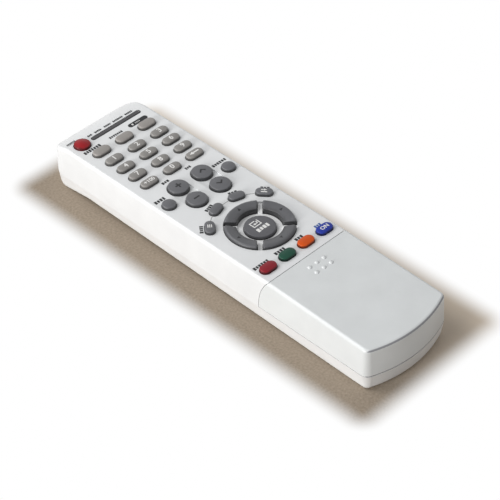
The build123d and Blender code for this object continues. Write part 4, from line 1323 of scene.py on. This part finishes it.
# %% [markdown]
# The two cells show when the battery door is open. A cell is round, so it is turned on a lathe in
# code: a profile of radius and place along the axis, spun round it. A Screw modifier could do
# that, but the loft that makes the keys does it as well, with nothing left to apply.

# %% Helpers that turn a cell
CELL_RADIUS = (cells_high.z - cells_low.z) / 2
CELL_SPRING = 3.0 * MM
CELL_NUB = 1.2 * MM
CELL_STEPS = 48
CELL_EDGE_STEPS = 4
cell_length = cells_high.y - cells_low.y - CELL_SPRING - CELL_NUB
cell_height = (cells_high.z + cells_low.z) / 2


def spin(name, profile, x, foot, direction, material):
    """Spin a profile of radius and reach round a cell's axis, from its flat end."""
    rings = []
    for radius, reach in profile:
        ring = []
        for step in range(CELL_STEPS):
            turn = 2 * pi * step / CELL_STEPS
            y, z = foot + direction * reach, cell_height + radius * sin(turn)
            ring.append((x + radius * cos(turn), y, z))
        rings.append(ring)
    return finish_piece(name, loft(rings), material, "root", smooth_angle=32)


def rounded_step(radius, reach, edge):
    """Return the points of a rounded outer edge that ends at this radius and reach."""
    turns = [pi / 2 * step / CELL_EDGE_STEPS for step in range(CELL_EDGE_STEPS + 1)]
    return [(radius - edge + edge * cos(turn), reach - edge + edge * sin(turn)) for turn in turns]


print("a cell is", round(cell_length / MM, 1), "mm long")

# %% [markdown]
# The steel can and its printed jacket are separate meshes. They could be one mesh with two
# materials, but a jacket of its own can leave a seam of bare metal at both ends, as a real sleeve
# does. The cells lie head to tail, so the second one is the same profile turned round.

# %% Model the cells
CAN_RADIUS = CELL_RADIUS - 0.15 * MM
NUB_RADIUS = 1.9 * MM
JACKET_SHARES = (0.2, 0.4, 0.6, 0.72, 0.76, 0.9)

can = [(0.1 * MM, 0.25 * MM), (3.2 * MM, 0.25 * MM), (3.6 * MM, 0.0), (CELL_RADIUS - 0.7 * MM, 0.0)]
can += [(CELL_RADIUS - 0.2 * MM, 0.3 * MM), (CAN_RADIUS, 1.0 * MM)]
can += rounded_step(CAN_RADIUS, cell_length, 0.9 * MM)
can += [(2.4 * MM, cell_length - 0.1 * MM), (NUB_RADIUS, cell_length)]
can += rounded_step(NUB_RADIUS, cell_length + CELL_NUB, 0.4 * MM)
can += [(0.1 * MM, cell_length + CELL_NUB)]
jacket = [(CELL_RADIUS - 0.5 * MM, 0.5 * MM), (CELL_RADIUS, 0.9 * MM)]
jacket += [(CELL_RADIUS, cell_length * share) for share in JACKET_SHARES]
jacket += [(CELL_RADIUS, cell_length - 1.1 * MM), (CELL_RADIUS - 0.5 * MM, cell_length - 0.6 * MM)]
cell_places = {
    "left": (cells_low.x + CELL_RADIUS, cells_low.y + CELL_SPRING, 1),
    "right": (cells_high.x - CELL_RADIUS, cells_high.y - CELL_SPRING, -1),
}
for side, place in cell_places.items():
    spin(f"cell_can_{side}", can, *place, nickel_plate)
    spin(f"cell_jacket_{side}", jacket, *place, cell_jackets[side])
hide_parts("batteries")

# %% [markdown]
# The floor is one plain pale sheet. Near the object it is a soft warm grey. To the camera the grey
# shows only in a band that follows the object's outline, a painted shadow round it, so that the pale
# case stands off it, and further out the floor fades to white. To the right, where the object's
# shadow falls, the grey turns paler, which is painted light that lifts that shadow. More light could
# turn the floor white, but it would burn out the white case as well. So for the camera, and for the
# rays of glossy and clear surfaces, the far part of the floor is plain white light. Everything else
# sees a diffuse sheet, which keeps the object's shadow.

# %% The floor's material
FLOOR_SPREAD = 12 * MM
FLOOR_SHIFT = 4 * MM
FLOOR_FADE = 14 * MM
PAPER_DARK = (0.20, 0.165, 0.125, 1)
PAPER_LIGHT = (0.42, 0.35, 0.28, 1)
PAPER_PAINTED_LIGHT = (0.66, 0.57, 0.47, 1)


def seen_plainly(tree):
    """Return a socket that is 1 for the rays of the camera and of glossy and clear surfaces."""
    rays = add_node(tree, "ShaderNodeLightPath").outputs
    seen = calculate(tree, "MAXIMUM", rays["Is Camera Ray"], rays["Is Glossy Ray"])
    return calculate(tree, "MAXIMUM", seen, rays["Is Transmission Ray"])


floor_paper, tree = new_material("floor paper")
tree.nodes.clear()
point = object_point(tree)
shifted = on_vectors(tree, "SUBTRACT", "Vector", point, (FLOOR_SHIFT, 0, 0))
mirrored = on_vectors(tree, "ABSOLUTE", "Vector", shifted)
edge = (case_high.x + FLOOR_SPREAD, case_high.y, 0)
beyond = on_vectors(tree, "SUBTRACT", "Vector", mirrored, edge)
outside = on_vectors(tree, "MAXIMUM", "Vector", beyond)
away = on_vectors(tree, "LENGTH", "Value", outside)
# The grey band round the object is a painted shadow; beyond it the camera sees white.
far = remap(tree, away, 0.0, FLOOR_FADE, interpolation_type="SMOOTHSTEP")
share = calculate(tree, "MULTIPLY", far, seen_plainly(tree))
# Paler paper to the right is painted light in the object's shadow.
painted_light_share = remap(tree, split(tree, point)["X"], case_low.x, case_high.x + FLOOR_FADE)
paper = mix_colours(tree, noise(tree, point, 900.0, 3.0), PAPER_DARK, PAPER_LIGHT)
paper = mix_colours(tree, painted_light_share, paper, PAPER_PAINTED_LIGHT)
sheet = add_node(tree, "ShaderNodeBsdfDiffuse", paper).outputs["BSDF"]
glow = add_node(tree, "ShaderNodeEmission").outputs["Emission"]
mix = add_node(tree, "ShaderNodeMixShader", share, sheet, glow)
add_node(tree, "ShaderNodeOutputMaterial", mix.outputs["Shader"])
print("nodes in the floor's material:", len(tree.nodes))

# %% [markdown]
# The floor itself is one large square. It could be a curved backdrop, but the far part of the
# floor and the world are both plain white, so no horizon shows.

# %% Lay the floor
FLOOR_HALF = 4.0

floor_mesh = bpy.data.meshes.new("floor")
corners = [(x * FLOOR_HALF, y * FLOOR_HALF, 0) for x, y in ((-1, -1), (1, -1), (1, 1), (-1, 1))]
floor_mesh.from_pydata(corners, [], [(0, 1, 2, 3)])
floor_mesh.materials.append(floor_paper)
floor = bpy.data.objects.new("floor", floor_mesh)
scene.collection.objects.link(floor)
print("floor:", 2 * FLOOR_HALF, "m square")

# %% [markdown]
# Two soft boxes give the object its form. A world of even light could do without them, but it
# would light every side alike. The side box stands low on the left, so the long white side is the
# brightest face. The head box stands higher, past the head end, so the face fades a little towards
# the tail and the near flank of each key falls into shade.

# %% Lights
WARM_WHITE = (1.0, 0.99, 0.975)


def away_from(azimuth, elevation):
    """Return the direction from the object's middle to a place round it, from angles in degrees."""
    turn, rise = radians(azimuth), radians(elevation)
    return Vector((sin(turn) * cos(rise), -cos(turn) * cos(rise), sin(rise)))


def add_soft_box(name, azimuth, elevation, distance, size, power):
    """Place an area lamp that faces the middle of the remote."""
    lamp = bpy.data.lights.new(name, "AREA")
    lamp.shape = "SQUARE"
    lamp.size = size
    lamp.energy = power
    lamp.color = WARM_WHITE
    box = bpy.data.objects.new(name, lamp)
    back = away_from(azimuth, elevation)
    box.location = back * distance
    box.rotation_euler = back.to_track_quat("Z", "Y").to_euler()
    scene.collection.objects.link(box)


add_soft_box("side box", azimuth=-91, elevation=14, distance=2.2, size=0.8, power=35)
add_soft_box("head box", azimuth=-140, elevation=46, distance=1.2, size=0.7, power=7.5)
print("lamps:", len(bpy.data.lights))

# %% [markdown]
# The world is plain white to the camera and to glossy and clear surfaces, and dimmer to everything
# else. It could be white for all rays, but then its light would burn out the white case. The
# Standard view shows a colour about as it is written.

# %% World
WORLD_LEVEL = 0.42

world = bpy.data.worlds.new("studio")
scene.world = world
world.use_nodes = True
sky = world.node_tree
background = sky.nodes["Background"]
feed(sky, background.inputs["Color"], (1, 1, 1, 1))
level = remap(sky, seen_plainly(sky), 0.0, 1.0, To_Min=WORLD_LEVEL)
feed(sky, background.inputs["Strength"], level)
scene.view_settings.view_transform = "Standard"
print("world:", world.name)

# %% [markdown]
# The camera was fitted to the places of the keys and the case's edges. It could be aimed by a
# constraint, but that gives no roll. So it is written as an aim point on the key face, a direction
# and a distance, with a long lens and a slight roll, and its matrix is put together from them.

# %% Camera
VIEW_AZIMUTH = -43.907
VIEW_ELEVATION = 41.714
VIEW_ROLL = -1.507
VIEW_DISTANCE = 0.8816
VIEW_AIM = Vector((-0.0150, -0.0210, 0.026))
VIEW_LENS = 140.94

turn, roll = radians(VIEW_AZIMUTH), radians(VIEW_ROLL)
back = away_from(VIEW_AZIMUTH, VIEW_ELEVATION)
level = Vector((cos(turn), sin(turn), 0))
upright = back.cross(level)
right = level * cos(roll) + upright * sin(roll)
up = upright * cos(roll) - level * sin(roll)
optics = bpy.data.cameras.new("camera")
optics.lens = VIEW_LENS
optics.sensor_width = 36.0
optics.clip_start = 0.01
camera = bpy.data.objects.new("camera", optics)
turned = Matrix((right, up, back)).transposed().to_4x4()
camera.matrix_world = Matrix.Translation(VIEW_AIM + back * VIEW_DISTANCE) @ turned
scene.collection.objects.link(camera)
scene.camera = camera
print("camera at", [round(value, 3) for value in camera.matrix_world.translation])
